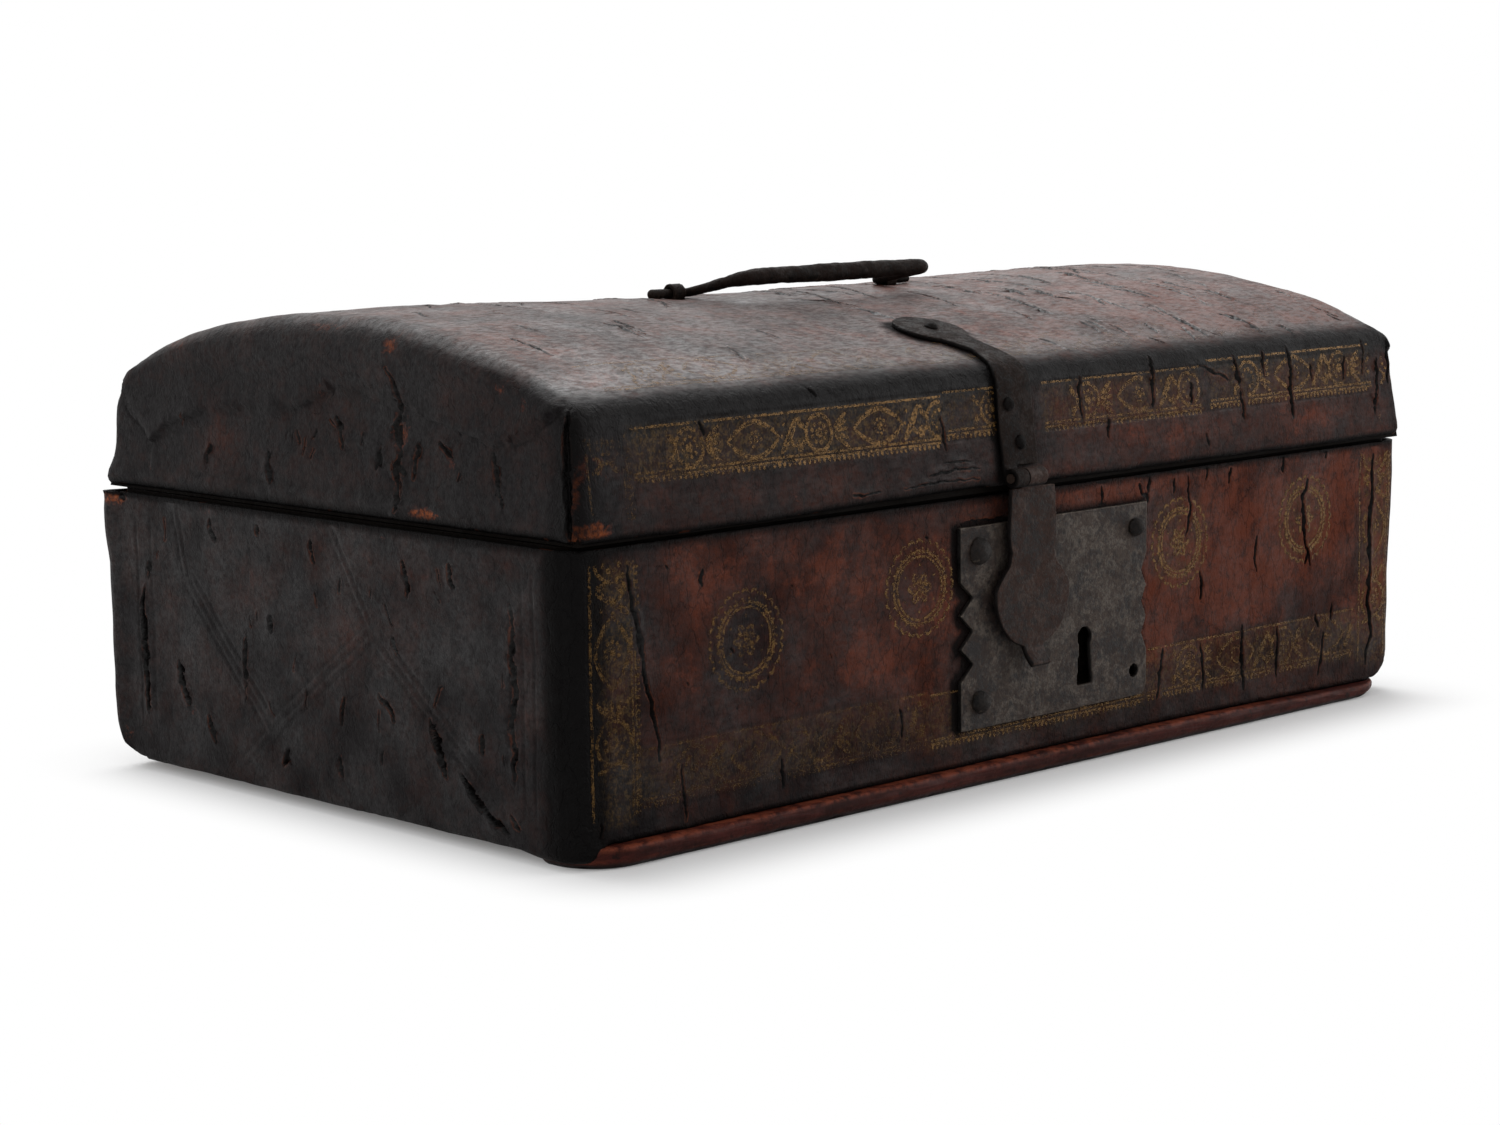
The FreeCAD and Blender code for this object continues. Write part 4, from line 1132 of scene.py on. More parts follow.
BODY_MARKS = [
    *rips(Side.FRONT, "56,91.5 55.5,86; 77,91 77.5,82 78.5,79 77.5,74 77,68; 87,92 87,87; "
          "101,91 99,85; 131,93 131,86; 156,92 156,89; 84,57 85.5,52 84.5,46", half_width=0.45),
    *rips(Side.FRONT, "146,84 144,79 142,77 143,70 144,61 146,57 148,50; 183,91.5 182,83 "
          "182,72 181,62 182,46 181,36 184,22 181,15 181,9; 108,36 107,28 108,20 109,11; "
          "-179,89 -178,81 -177,74 -174,65 -173,55 -170,43 -168,35 -167,26", half_width=0.62,
          lift=0.75),
    *rips(Side.FRONT, "84,32 86,25 86,14; 64,33 63,25 61,14; 128,33 128,13; 161,37 160,30; "
          "156,27 155,19 153,11; 151,34 153,28; -159,27 -158,19 -157,8; -190,14 -190.5,9; "
          "146,57 144,52; 70,90 69.5,84; 116,66 115,58 116,52; -66,30 -65,20; -118,22 -117,12",
          half_width=0.42, depth=1.0, lift=0.4),
    *rips(Side.FRONT, "31,91.0 31.6,86 31,84; -37,85.6 -24,84.6 -16,85.4", half_width=0.3,
          depth=0.7, lift=0.7),
    *rips(Side.FRONT, "51,90 52.6,86 55.4,84.5 55.6,82", half_width=0.6, depth=1.2),
    *rips(Side.FRONT, "-149,83 -150.5,79.5 -149,77", half_width=0.35, depth=0.7),
    *rips(Side.LEFT, "98,63 99,54 98,47 97.5,31 98,19; 80,40 77,32 74,25; 41,52 42,37; -10,39 "
          "-8,29; -26,42 -33,37 -34,33; -6,20 -8,13; -52,36 -56,30 -58,21; -65,23 -73,16 "
          "-79,12 -86,8; -76,36 -76,29; -51,38 -57,28 -59,19; -88,14 -92,9; -62,85 -64,77; "
          "95,71 95,65; 28,60 27,54; 6,86 4,78; -40,84 -43,76 -42,72; 60,88 57,80; 34,88 "
          "33,84; -34,60 -37,54; 64,24 60,14; 20,18 24,12", half_width=0.78, depth=1.6, lift=0.8),
    *rips(Side.LEFT, "-52,37 -56,30 -58,20; -65,23 -73,16 -79,12 -88,7.5", half_width=1.15,
          depth=1.8, lift=0.8),
    *rips(Side.LEFT, "98,63 99,54 98,47 97.5,31 98,19; 80,40 77,32 74,25", half_width=1.0,
          depth=1.6, lift=0.8),
    *rips(Side.LEFT, "-88,77 -91,71 -90,59 -91,50 -89,39 -91,31 -90,22", half_width=1.1,
          depth=1.7, lift=0.9),
    *rips(Side.LEFT, "109,91.5 106.5,90", half_width=1.0, lift=0.1),
    *fillet(Side.LEFT, (74, 68), (29, 24)), *fillet(Side.LEFT, (30, 22.5), (-25, 61)),
    *fillet(Side.LEFT, (-24, 60), (-78, 20)), *fillet(Side.LEFT, (-4, 90), (-24, 60), 2),
    *fillet(Side.LEFT, (46, 10), (30, 22.5), 2), *fillet(Side.LEFT, (74, 68), (80, 90), 2),
    *fillet(Side.LEFT, (98, 88), (98, 14), 2, 8.0),
    *fillet(Side.LEFT, (-97, 86), (-97, 12), 2, 5.0), *fillet(Side.RIGHT, (74, 22), (24, 66)),
    *fillet(Side.RIGHT, (24, 66), (-28, 22)), *fillet(Side.RIGHT, (-28, 22), (-76, 64)),
    *fillet(Side.RIGHT, (98, 88), (98, 14), 2, 6.0),
    *fillet(Side.RIGHT, (-97, 86), (-97, 12), 2, 6.0), *fillet(Side.BACK, (-186, 82), (-98, 20)),
    *fillet(Side.BACK, (-98, 20), (0, 78)), *fillet(Side.BACK, (0, 78), (98, 20)),
    *fillet(Side.BACK, (98, 20), (186, 82)), *fillet(Side.BACK, (-190, 86), (-190, 12), 2, 5.0),
    *fillet(Side.BACK, (190, 86), (190, 12), 2, 5.0),
    *tooling(Side.FRONT, ((-176, 33.6), (-42, 33.6)), ((-176, 14.6), (-60, 14.6)), ((56, 33.4),
             (178, 33.4)), ((-193.4, 88), (-193.4, 14)), ((-175.6, 88), (-175.6, 34)), ((176.4,
             88), (176.4, 34)), ((194, 88), (194, 14)), width=0.45, depth=0.16),
    *chance_rips(Side.LEFT, 31, 22, (-92, 24, 92, 88), (3, 9), 0.5),
    *chance_rips(Side.FRONT, 32, 9, (-165, 40, -48, 88), (1, 3), 0.5, 0.6),
    *chance_rips(Side.BACK, 5, 20, (-186, 40, 186, 88), (8, 38)),
    *chance_rips(Side.RIGHT, 6, 12, (-96, 36, 96, 88), (8, 40)),
]

LID_MARKS = [
    *rips(Side.FRONT, "59,132 58,122 57,114; 103,130 105,121 105.5,113 106,106; 134,131 "
          "134.5,121 133.5,113 134,104; 187,124 184.5,111 183,102; 194,130 192,113",
          half_width=0.55, lift=0.7),
    *rips(Side.FRONT, "120,130 119,121; 167,126 165,116; 179,131 178,124 177,117; 34,113 "
          "33,106; -149,126 -148,121; 79,122 78,114; 84,104 85,99; -102,132 -100,129; -47,120 "
          "-45.5,108; 21,128 20,118 21,112; 146,124 147,117", half_width=0.4, depth=0.9,
          lift=0.4),
    *rips(Side.FRONT, "84,127 92,124 100,121", half_width=0.45, depth=0.5, lift=0.5),
    *rips(Side.FRONT, "-68,98 -50,98.6 -30,98; -56,101 -42,102 -30,101.4; -48,104.6 -34,104.2; "
          "-90,98.5 -76,98", half_width=0.28, depth=0.7, lift=0.4),
    *rips(Side.TOP, "74,-31 74,-41 71,-49; 62,-43 60,-51 57,-59 56,-75; 84,-38 80,-50 79,-56 "
          "83,-63; 108,-10 104,-24 100,-36; 133,-9 128,-22 122,-35; 104,-87 103,-97 101,-106; "
          "130,-90 131,-99 132,-107; 153,-62 152,-70 151,-80", half_width=0.55, lift=0.8),
    *rips(Side.TOP, "59,-83 57,-95; 68,-88 68,-98; 85,-90 81,-100; 73,-102 75,-108; -6,-89 "
          "-2,-95 2,-99; 25,-94 26,-106; 6,2 -4,-20 -15,-43; 35,16 22,-10 11,-34; -60,10 "
          "-70,-14 -82,-30; 92,20 88,2; 146,12 140,-6; 44,-66 42,-78; 118,-52 117,-66; 168,-30 "
          "165,-46", half_width=0.38, depth=0.9, lift=0.5),
    *rips(Side.LEFT, "-33,142 -38,131 -36,120 -39,116 -37,108 -38,101 -35,96", half_width=0.9,
          depth=1.5, lift=0.9),
    *chance_rips(Side.LEFT, 33, 12, (-86, 106, 80, 124), (3, 8), 0.5),
    *rips(Side.LEFT, "-6,125 -9,120 -11,114; -47,119 -45,107; -56,120 -63,115; -29,117 "
          "-27,109; -81,119 -84,110 -87,102; 60,112 61,105; 28,112 27,101", half_width=0.62,
          depth=1.4, lift=0.7),
    *rips(Side.LEFT, "-111.5,133 -114.0,114 -116.0,95.4", half_width=0.95, depth=1.7, lift=0.7,
          ragged=0.3),
    *rips(Side.LEFT, "-103,137 -107,136", half_width=0.7, depth=1.0),
    *rips(Side.LEFT, "-34,124 -41,126; -36,112 -42,109", half_width=0.9, depth=0.6, lift=0.5),
    *folds(Side.LEFT, "106,122 103,118 93,110 94,100", 0.5, 0.45, 0.35),
    *folds(Side.LEFT, "-110,131 -98,123 -89,120", 0.5, 0.45, 0.35),
    *folds(Side.LEFT, "92,110 85,116 69,120 62,123 41,124 23,125 16,125 6,128 -4,132 -16,132 "
           "-25,131 -38,131 -46,127 -64,124 -81,120 -89,121", 0.4, 0.4, 0.0, 0.35),
    *folds(Side.RIGHT, "-106,120 -98,113 -94,98", 0.5, 0.45, 0.35),
    *folds(Side.RIGHT, "108,128 96,119 92,98", 0.5, 0.45, 0.35),
    *fillet(Side.LEFT, (84, 100), (-84, 100), 2), *fillet(Side.RIGHT, (84, 100), (-84, 100), 2),
    *fillet(Side.BACK, (-184, 101), (184, 101), 2),
    *fillet(Side.BACK, (-184, 123), (184, 123), 2),
    *tooling(Side.FRONT, ((-176, 126.6), (196, 126.6)), ((-176, 111.4), (196, 111.4)), width=0.45,
             depth=0.15),
    *chance_rips(Side.BACK, 8, 14, (-184, 104, 184, 126), (6, 20)),
    *chance_rips(Side.RIGHT, 9, 10, (-80, 106, 80, 134), (6, 26)),
    *chance_rips(Side.TOP, 10, 26, (-180, 10, 180, 96), (14, 46), 0.3, 1.4),
    *chance_rips(Side.TOP, 12, 14, (-176, -84, -40, 4), (8, 26), 0.35),
    *chance_rips(Side.TOP, 21, 34, (-20, -50, 186, 30), (14, 40), 0.16, 1.6),
    *chance_rips(Side.TOP, 22, 14, (60, -104, 186, -60), (6, 16), 0.14, 1.2),
]


# Shader groups and finishes

def rgb(text: str) -> tuple[float, float, float, float]:
    """Turns a screen colour such as 6b5630 into the linear colour that a shader needs.

    Args:
        text: Six hexadecimal digits.

    Returns:
        Red, green, blue and 1.
    """
    parts = [int(text[place:place + 2], 16) / 255 for place in (0, 2, 4)]
    line = [part / 12.92 if part <= 0.04045 else ((part + 0.055) / 1.055) ** 2.4 for part in parts]
    return (*line, 1.0)


# What an input takes: a node's result, a plain value or a screen colour
Source = Union["Number", bpy.types.NodeSocket, float, tuple, str]


class Board:
    """Short way to place and join the nodes of one tree."""

    def __init__(self, tree: bpy.types.NodeTree) -> None:
        """Keeps the tree that nodes are placed in."""
        self.tree = tree

    def join(self, node: bpy.types.Node, slot: str | int, value: Source) -> None:
        """Gives an input a plain value, a screen colour, a number or the output of a node."""
        value = rgb(value) if isinstance(value, str) else getattr(value, "socket", value)
        if isinstance(value, bpy.types.NodeSocket):
            self.tree.links.new(value, node.inputs[slot])
        else:
            node.inputs[slot].default_value = value

    def add(self, kind: str, inputs: dict | None = None, **settings: object) -> bpy.types.Node:
        """Places a node.

        Args:
            kind: Blender's name of the node type.
            inputs: Values or sources by input name or number.
            settings: Properties of the node.

        Returns:
            The node.
        """
        node = self.tree.nodes.new(kind)
        for key, value in settings.items():
            setattr(node, key, value)
        for key, value in (inputs or {}).items():
            self.join(node, key, value)
        return node

    def math(self, kind: str, first: Source, second: Source = 0.0,
             clamp: bool = False) -> "Number":
        """Places a Math node and returns its result."""
        node = self.add("ShaderNodeMath", {0: first, 1: second}, operation=kind, use_clamp=clamp)
        return Number(self, node.outputs[0])

    def vector(self, kind: str, first: Source, second: Source) -> bpy.types.NodeSocket:
        """Places a Vector Math node and returns its result."""
        return self.add("ShaderNodeVectorMath", {0: first, 3 if kind == "SCALE" else 1: second},
                        operation=kind).outputs[0]

    def blend(self, part: Source, first: Source, second: Source) -> bpy.types.NodeSocket:
        """Mixes two colours and returns the mixture."""
        return self.add("ShaderNodeMix", {0: part, 6: first, 7: second},
                        data_type="RGBA").outputs[2]

    def layers(self, colour: Source, *coats: tuple) -> bpy.types.NodeSocket:
        """Lays coats over a colour, each a mask and a colour, and returns the last mixture."""
        for mask, over in coats:
            colour = self.blend(mask, colour, over)
        return colour

    def read(self, name: str) -> "Number":
        """Reads a number stored at the corners of the piece."""
        return Number(self, self.add("ShaderNodeAttribute", attribute_name=name).outputs["Fac"])

    def noise(self, place: Source, scale: Source, detail: float = 3.0, rough: float = 0.55,
              warp: float = 0.0) -> "Number":
        """Places a noise with scale swells in a millimetre."""
        return Number(self, self.add("ShaderNodeTexNoise", {
            "Vector": place, "Scale": scale, "Detail": detail, "Roughness": rough,
            "Distortion": warp}).outputs[0])

    def cells(self, place: Source, scale: Source, feature: str) -> "Number":
        """Places a net of cells and returns its distances."""
        return Number(self, self.add("ShaderNodeTexVoronoi", {"Vector": place, "Scale": scale},
                                     feature=feature).outputs[0])

    def edge(self) -> "Number":
        """Returns how sharply the surface stands out."""
        return Number(self, self.add("ShaderNodeNewGeometry").outputs["Pointiness"])

    def stretch(self, place: Source, scale: tuple[float, float, float],
                turn: tuple[float, float, float] = (0.0, 0.0, 0.0)) -> bpy.types.NodeSocket:
        """Scales and turns the space that a pattern is drawn in."""
        return self.add("ShaderNodeMapping", {"Vector": place, "Scale": scale,
                                              "Rotation": turn}).outputs[0]

    def parts(self, place: Source) -> list["Number"]:
        """Splits a place into its three numbers."""
        return [Number(self, part) for part in
                self.add("ShaderNodeSeparateXYZ", {0: place}).outputs]


@dataclass(frozen=True)
class Number:
    """A number that changes over the surface, whose arithmetic places Math nodes."""

    board: Board
    socket: bpy.types.NodeSocket

    def __add__(self, other: Source) -> "Number":
        """Adds another number."""
        return self.board.math("ADD", self, other)

    def __radd__(self, other: Source) -> "Number":
        """Adds this to a plain number."""
        return self.board.math("ADD", other, self)

    def __sub__(self, other: Source) -> "Number":
        """Takes another number away."""
        return self.board.math("SUBTRACT", self, other)

    def __rsub__(self, other: Source) -> "Number":
        """Takes this from a plain number."""
        return self.board.math("SUBTRACT", other, self)

    def __mul__(self, other: Source) -> "Number":
        """Multiplies by another number."""
        return self.board.math("MULTIPLY", self, other)

    def __rtruediv__(self, other: Source) -> "Number":
        """Divides a plain number by this."""
        return self.board.math("DIVIDE", other, self)

    def __abs__(self) -> "Number":
        """Drops the sign."""
        return self.board.math("ABSOLUTE", self)

    def larger(self, other: Source) -> "Number":
        """Returns the larger of two numbers."""
        return self.board.math("MAXIMUM", self, other)

    def ramp(self, low: Source, high: Source, to_low: float = 0.0,
             to_high: float = 1.0) -> "Number":
        """Leads smoothly from to_low at low to to_high at high."""
        node = self.board.add("ShaderNodeMapRange", {
            "Value": self, "From Min": low, "From Max": high, "To Min": to_low,
            "To Max": to_high}, interpolation_type="SMOOTHSTEP")
        return Number(self.board, node.outputs[0])


class Effect:
    """A shader group with a place, named numbers and named results."""

    def __init__(self, name: str, inputs: dict[str, float], outputs: tuple[str, ...]) -> None:
        """Starts a group.

        Args:
            name: Name of the group.
            inputs: Names of its number inputs with their defaults.
            outputs: Names of its number outputs.
        """
        self.tree = bpy.data.node_groups.new(name, "ShaderNodeTree")
        socket = self.tree.interface.new_socket
        socket("Place", in_out="INPUT", socket_type="NodeSocketVector")
        for key, value in inputs.items():
            socket(key, in_out="INPUT", socket_type="NodeSocketFloat").default_value = value
        for key in outputs:
            socket(key, in_out="OUTPUT", socket_type="NodeSocketFloat")
        self.board = Board(self.tree)
        given = self.board.add("NodeGroupInput").outputs
        self.place, self.scale = given["Place"], 1.0 / Number(self.board, given["Size"])
        self.values = [Number(self.board, given[key]) for key in inputs]

    def give(self, *results: Number) -> bpy.types.NodeTree:
        """Joins the results to the group's outputs and returns its tree."""
        self.board.add("NodeGroupOutput", dict(enumerate(results)))
        return self.tree


class Groups:
    """The shared effects, each a shader group built once."""

    def __init__(self) -> None:
        """Builds every group."""
        self.mottle = self._mottle()
        self.craze = self._craze()
        self.pores = self._pores()
        self.fibre = self._fibre()

    @staticmethod
    def _mottle() -> bpy.types.NodeTree:
        """Builds soft uneven patches with a finer break-up inside them.

        Returns:
            The group's tree.
        """
        effect = Effect("Mottle", {"Size": 20.0, "Contrast": 0.5, "Fine": 0.35}, ("Mask",))
        noise, (_, contrast, fine) = effect.board.noise, effect.values
        broken = (noise(effect.place, effect.scale * 6.3, 3.0, 0.6) - 0.5) * fine
        value = noise(effect.place, effect.scale, 4.0, 0.6, 0.6) + broken
        half = (1.0 - contrast) * 0.3
        return effect.give(value.ramp(0.5 - half, 0.5 + half))

    @staticmethod
    def _craze() -> bpy.types.NodeTree:
        """Builds a net of hair cracks in an old dressed surface.

        Returns:
            The group's tree.
        """
        effect = Effect("Craze", {"Size": 6.0, "Width": 0.06, "Wander": 0.5}, ("Line", "Height"))
        board, (size, width, wander) = effect.board, effect.values
        drift = board.add("ShaderNodeTexNoise", {"Vector": effect.place, "Detail": 3.0,
                                                 "Scale": effect.scale * 2.2}).outputs[1]
        pull = board.vector("SCALE", board.vector("SUBTRACT", drift, (0.5, 0.5, 0.5)),
                            size * wander)
        cells = board.cells(board.vector("ADD", effect.place, pull), effect.scale,
                            "DISTANCE_TO_EDGE")
        line = cells.ramp(0.0, width, 1.0, 0.0)
        return effect.give(line, 1.0 - line)

    @staticmethod
    def _pores() -> bpy.types.NodeTree:
        """Builds small pits over a fine grain, for hide and for forged metal.

        Returns:
            The group's tree.
        """
        effect = Effect("Pores", {"Size": 1.0, "Grain": 0.6}, ("Height", "Pit"))
        board, place, scale = effect.board, effect.place, effect.scale
        pit = board.cells(place, scale, "F1").ramp(0.12, 0.42, 1.0, 0.0)
        grain = board.noise(place, scale * 0.7, 6.0, 0.65) * effect.values[1]
        return effect.give(grain - pit * 0.35, pit)

    @staticmethod
    def _fibre() -> bpy.types.NodeTree:
        """Builds long streaks, for wood grain and for creased leather.

        Returns:
            The group's tree.
        """
        effect = Effect("Fibre", {"Size": 2.0, "Sharp": 0.5}, ("Height", "Streak"))
        lines = effect.board.noise(effect.place, effect.scale, 5.0, 0.6, 0.4)
        return effect.give(lines, abs(lines - 0.5).ramp(0.0, 0.3 - effect.values[1] * 0.24,
                                                        1.0, 0.0))


class Finish:
    """A material with its board, its places in millimetres and its shader."""

    def __init__(self, name: str, **constants: float | tuple) -> None:
        """Starts a material.

        Args:
            name: Name of the material.
            constants: Plain values of the shader's own inputs.
        """
        self.material = bpy.data.materials.new(name)
        self.material.use_nodes = True
        self.board = Board(self.material.node_tree)
        self.shader = self.material.node_tree.nodes["Principled BSDF"]
        self.set(**constants)
        place = self.board.add("ShaderNodeTexCoord").outputs["Object"]
        self.place = self.board.vector("SCALE", place, 1.0 / MM)

    def use(self, tree: bpy.types.NodeTree, place: Source, *values: float) -> list[Number]:
        """Places a shared effect with its values in order and returns its results."""
        node = self.board.add("ShaderNodeGroup", dict(enumerate((place, *values))),
                              node_tree=tree)
        return [Number(self.board, result) for result in node.outputs]

    def noise(self, size: float, detail: float = 3.0, rough: float = 0.55) -> Number:
        """Places a noise whose swells are size millimetres wide."""
        return self.board.noise(self.place, 1.0 / size, detail, rough)

    def set(self, **sources: Source) -> None:
        """Gives the shader's inputs their values or sources."""
        for key, source in sources.items():
            self.board.join(self.shader, key.replace("_", " "), source)

    def bump(self, *layers: tuple[Number, float]) -> bpy.types.Material:
        """Adds bump layers, each a height and its depth in mm, and returns the material.

        Args:
            layers: Heights with their depths in millimetres.

        Returns:
            The material.
        """
        normal = None
        for height, depth in layers:
            inputs = {"Height": height, "Distance": depth * MM, "Strength": 1.0}
            if normal is not None:
                inputs["Normal"] = normal
            normal = self.board.add("ShaderNodeBump", inputs).outputs[0]
        self.set(Normal=normal)
        return self.material


@dataclass(frozen=True)
class LeatherLook:
    """Colours and gloss of the old brown hide."""

    black: str = "0f0b0c"
    dark: str = "201311"
    red: str = "351b14"
    bright: str = "54291b"
    flesh: str = "5e301c"
    rough_rubbed: float = 0.5
    rough_dry: float = 0.7

    def make(self, groups: Groups) -> bpy.types.Material:
        """Returns the leather material.

        Args:
            groups: The shared effects.

        Returns:
            The material.
        """
        finish = Finish("aged_leather", Specular_IOR_Level=0.05, Coat_Roughness=0.4,
                        Coat_IOR=1.45)
        board, place = finish.board, finish.place
        red, rubbed, gap, tooling_and_fold_shade, bare = (
            board.read(name) for name in ("red", "rubbed", "gap", "tooling_and_fold_shade", "bare"))
        broad, = finish.use(groups.mottle, place, 16.0, 0.3, 0.6)
        patch, = finish.use(groups.mottle, place, 6.5, 0.75, 0.8)
        fibre, streak = finish.use(
            groups.fibre, board.stretch(place, (1.0, 1.0, 0.3), (0.3, 0.35, 0.0)), 0.9, 0.75)
        crack, craze = finish.use(groups.craze, board.stretch(place, (1.0, 0.6, 0.45)),
                                  5.5, 0.055, 0.9)
        pores, _ = finish.use(groups.pores, place, 0.9, 0.8)
        dents = finish.noise(4.5, 4.0)
        tone = red + (broad - 0.5) * 0.22 + (fibre - 0.5) * 0.12
        tone = tone + (finish.noise(2.4, 5.0, 0.75) - 0.5) * 0.8 + (dents - 0.5) * 0.6
        ramp = board.add("ShaderNodeValToRGB", {
            "Fac": board.math("SUBTRACT", tone, rubbed * 0.42, clamp=True)})
        stops = ramp.color_ramp.elements
        stops[0].position, stops[0].color = 0.0, rgb(self.black)
        stops[1].position, stops[1].color = 1.0, rgb(self.bright)
        for position, colour in ((0.34, self.dark), (0.72, self.red)):
            stops.new(position).color = rgb(colour)
        gold = board.read("wash") * finish.noise(1.5, 6.0, 0.8).ramp(0.47, 0.6, 0.04, 1.0)
        worn = (gap + (pores - 0.3) * 0.7).ramp(0.2, 0.8, 1.0, 0.0)
        worn = worn * finish.noise(8.0).ramp(0.42, 0.62)
        torn = bare + (finish.noise(2.6, 5.0, 0.7) - 0.5) * 1.5
        raw = board.blend(finish.noise(1.3, 5.0, 0.7).ramp(0.35, 0.65), "2a1410",
                          board.blend(bare.ramp(0.45, 0.9), "47241a", "8a4620"))
        # hem colour: near black as painted shade where the cut edges and inner faces look into the
        # gaps, with brown worn patches
        hem = board.blend(finish.noise(6.0).ramp(0.6, 0.7), "080505", "4a2414")
        colour = board.layers(
            ramp.outputs[0], (patch * red.ramp(0.5, 0.95, 0.0, 0.4), self.bright),
            (streak * 0.06, self.black), (crack * 0.35, "0c0808"), (gold, "5a4526"),
            # the tooling mask darkens tooled grooves and paints a shade line along fold edges
            (tooling_and_fold_shade * 0.55, "0a0707"), (worn * 0.5, self.flesh),
            # the darkening read here is mostly painted shade in gaps, crevices and seams, painted
            # near black
            (torn.ramp(0.42, 0.68, 0.0, 0.85), raw), (board.read("shade_and_soiling") * 0.97, "050404"),
            # painted shade: near black inside the torn gaps; the hem colour goes over the cut
            # edges and inner faces
            (gap.ramp(-0.02, 0.32, 0.98, 0.0), "040303"), (board.read("hem") * 0.95, hem))
        glaze = board.noise(board.stretch(place, (0.5, 1.0, 1.0)), 1.0 / 1.8, 7.0, 0.8)
        coat = board.math("MULTIPLY", board.read("polish"), glaze.ramp(0.36, 0.64, 0.4, 1.3),
                          clamp=True)
        rough = rubbed.ramp(0.0, 0.9, self.rough_dry, self.rough_rubbed) + (broad - 0.5) * 0.14
        finish.set(Base_Color=colour, Roughness=rough, Coat_Weight=coat)
        return finish.bump((pores, 0.24), (fibre, 0.1), (craze, 0.24),
                           (finish.noise(1.7, 4.0, 0.7), 0.5), (dents, 1.1))


@dataclass(frozen=True)
class GiltLook:
    """Colour and wear of the gold borders."""

    gold: str = "72542c"
    brown: str = "3f2c17"

    def make(self, groups: Groups) -> bpy.types.Material:
        """Returns the worn gilt material.

        Args:
            groups: The shared effects.

        Returns:
            The material.
        """
        finish = Finish("worn_gilt", Specular_IOR_Level=0.2)
        broad, = finish.use(groups.mottle, finish.place, 12.0, 0.2, 0.5)
        speck, = finish.use(groups.mottle, finish.place, 1.0, 0.8, 0.8)
        kept = finish.board.read("kept")
        left = kept * 1.5 + -0.72 + broad * 0.45 + speck * 0.55
        finish.set(Base_Color=finish.board.blend(speck, self.brown, self.gold),
                   Alpha=left.ramp(0.25, 0.75) * kept.ramp(0.0, 1.0, 0.4, 0.95),
                   Metallic=speck * 0.45, Roughness=speck.ramp(0.0, 1.0, 0.62, 0.45))
        return finish.bump((finish.noise(0.8, 4.0), 0.12))


@dataclass(frozen=True)
class IronLook:
    """Colours of old wrought iron."""

    name: str
    dark: str = "1a1615"
    grey: str = "4a423b"
    rust: str = "2c1e17"
    bright: str = "756b5e"
    metal: float = 0.35
    gloss: float = 0.2

    def make(self, groups: Groups) -> bpy.types.Material:
        """Returns the iron material.

        Args:
            groups: The shared effects.

        Returns:
            The material.
        """
        finish = Finish(self.name, Specular_IOR_Level=self.gloss)
        board, place = finish.board, finish.place
        broad, = finish.use(groups.mottle, place, 13.0, 0.6, 0.7)
        stain, = finish.use(groups.mottle, board.stretch(place, (1.0, 1.0, 1.0), (0.4, 0.9, 0.2)),
                            5.0, 0.7, 0.9)
        pores, pit = finish.use(groups.pores, place, 0.75, 0.9)
        proud = board.edge().ramp(0.515, 0.60)
        grit = finish.noise(1.6, 6.0, 0.75).ramp(0.38, 0.62, 0.0, 0.7)
        colour = board.layers(
            board.blend(broad, self.dark, self.grey), (stain * 0.6, self.rust),
            (pit * 0.45, "171311"), (grit * 0.6, self.dark), (proud * 0.55, self.bright),
            (board.read("shade") * 0.9, "050404"))
        finish.set(Base_Color=colour, Metallic=(1.0 - stain) * self.metal,
                   Roughness=stain.ramp(0.0, 1.0, 0.52, 0.72) + proud * -0.1)
        return finish.bump((pores, 0.16), (finish.noise(1.3, 4.0, 0.7), 0.3),
                           (finish.noise(4.0, 4.0), 0.5))


@dataclass(frozen=True)
class WoodLook:
    """Colours and grain of a wood."""

    name: str
    dark: str
    light: str
    worn: str
    rough: float = 0.7
    gloss: float = 0.02
    edge_shade: float = 0.0
    chafed_above: float = 1e4

    def make(self, groups: Groups) -> bpy.types.Material:
        """Returns the wood material.

        Args:
            groups: The shared effects.

        Returns:
            The material.
        """
        finish = Finish(self.name, Specular_IOR_Level=self.gloss)
        board, place = finish.board, finish.place
        fibre, streak = finish.use(groups.fibre, board.stretch(place, (0.05, 1.0, 1.0)), 1.6, 0.6)
        broad, = finish.use(groups.mottle, board.stretch(place, (0.35, 1.0, 1.0)), 14.0, 0.3, 0.6)
        x, y, z = board.parts(place)
        proud = board.edge().ramp(0.51, 0.58).larger(
            z.ramp(self.chafed_above, self.chafed_above + 1.4))
        chafe = proud * finish.noise(5.0, 5.0, 0.7).ramp(0.38, 0.6)
        # painted shade: near black along the lowest 2 mm, where the wood meets the floor, and near
        # a height of 93.7 mm, in the gap under the lid
        under = z.ramp(0.7, 2.3, 0.93, 0.0).larger(abs(z - 93.7).ramp(1.5, 2.5, 0.9, 0.0))
        # painted shade: the outer faces of the inner boards, seen in the gap under the lid, near
        # black
        outer = abs(x).ramp(194, 197.5).larger(abs(y).ramp(108.5, 112.5)) * self.edge_shade
        colour = board.layers(
            board.blend(broad, self.dark, self.light), (streak * 0.45, self.dark),
            (chafe * 0.85, self.worn),
            (finish.noise(3.2, 5.0, 0.7).ramp(0.56, 0.68, 0.0, 0.75), "0d0706"),
            (under, "060403"), (outer, "060403"))
        finish.set(Base_Color=colour,
                   Roughness=broad.ramp(0.0, 1.0, self.rough, self.rough - 0.15))
        return finish.bump((fibre, 0.35), (finish.noise(2.0, 4.0), 0.2))


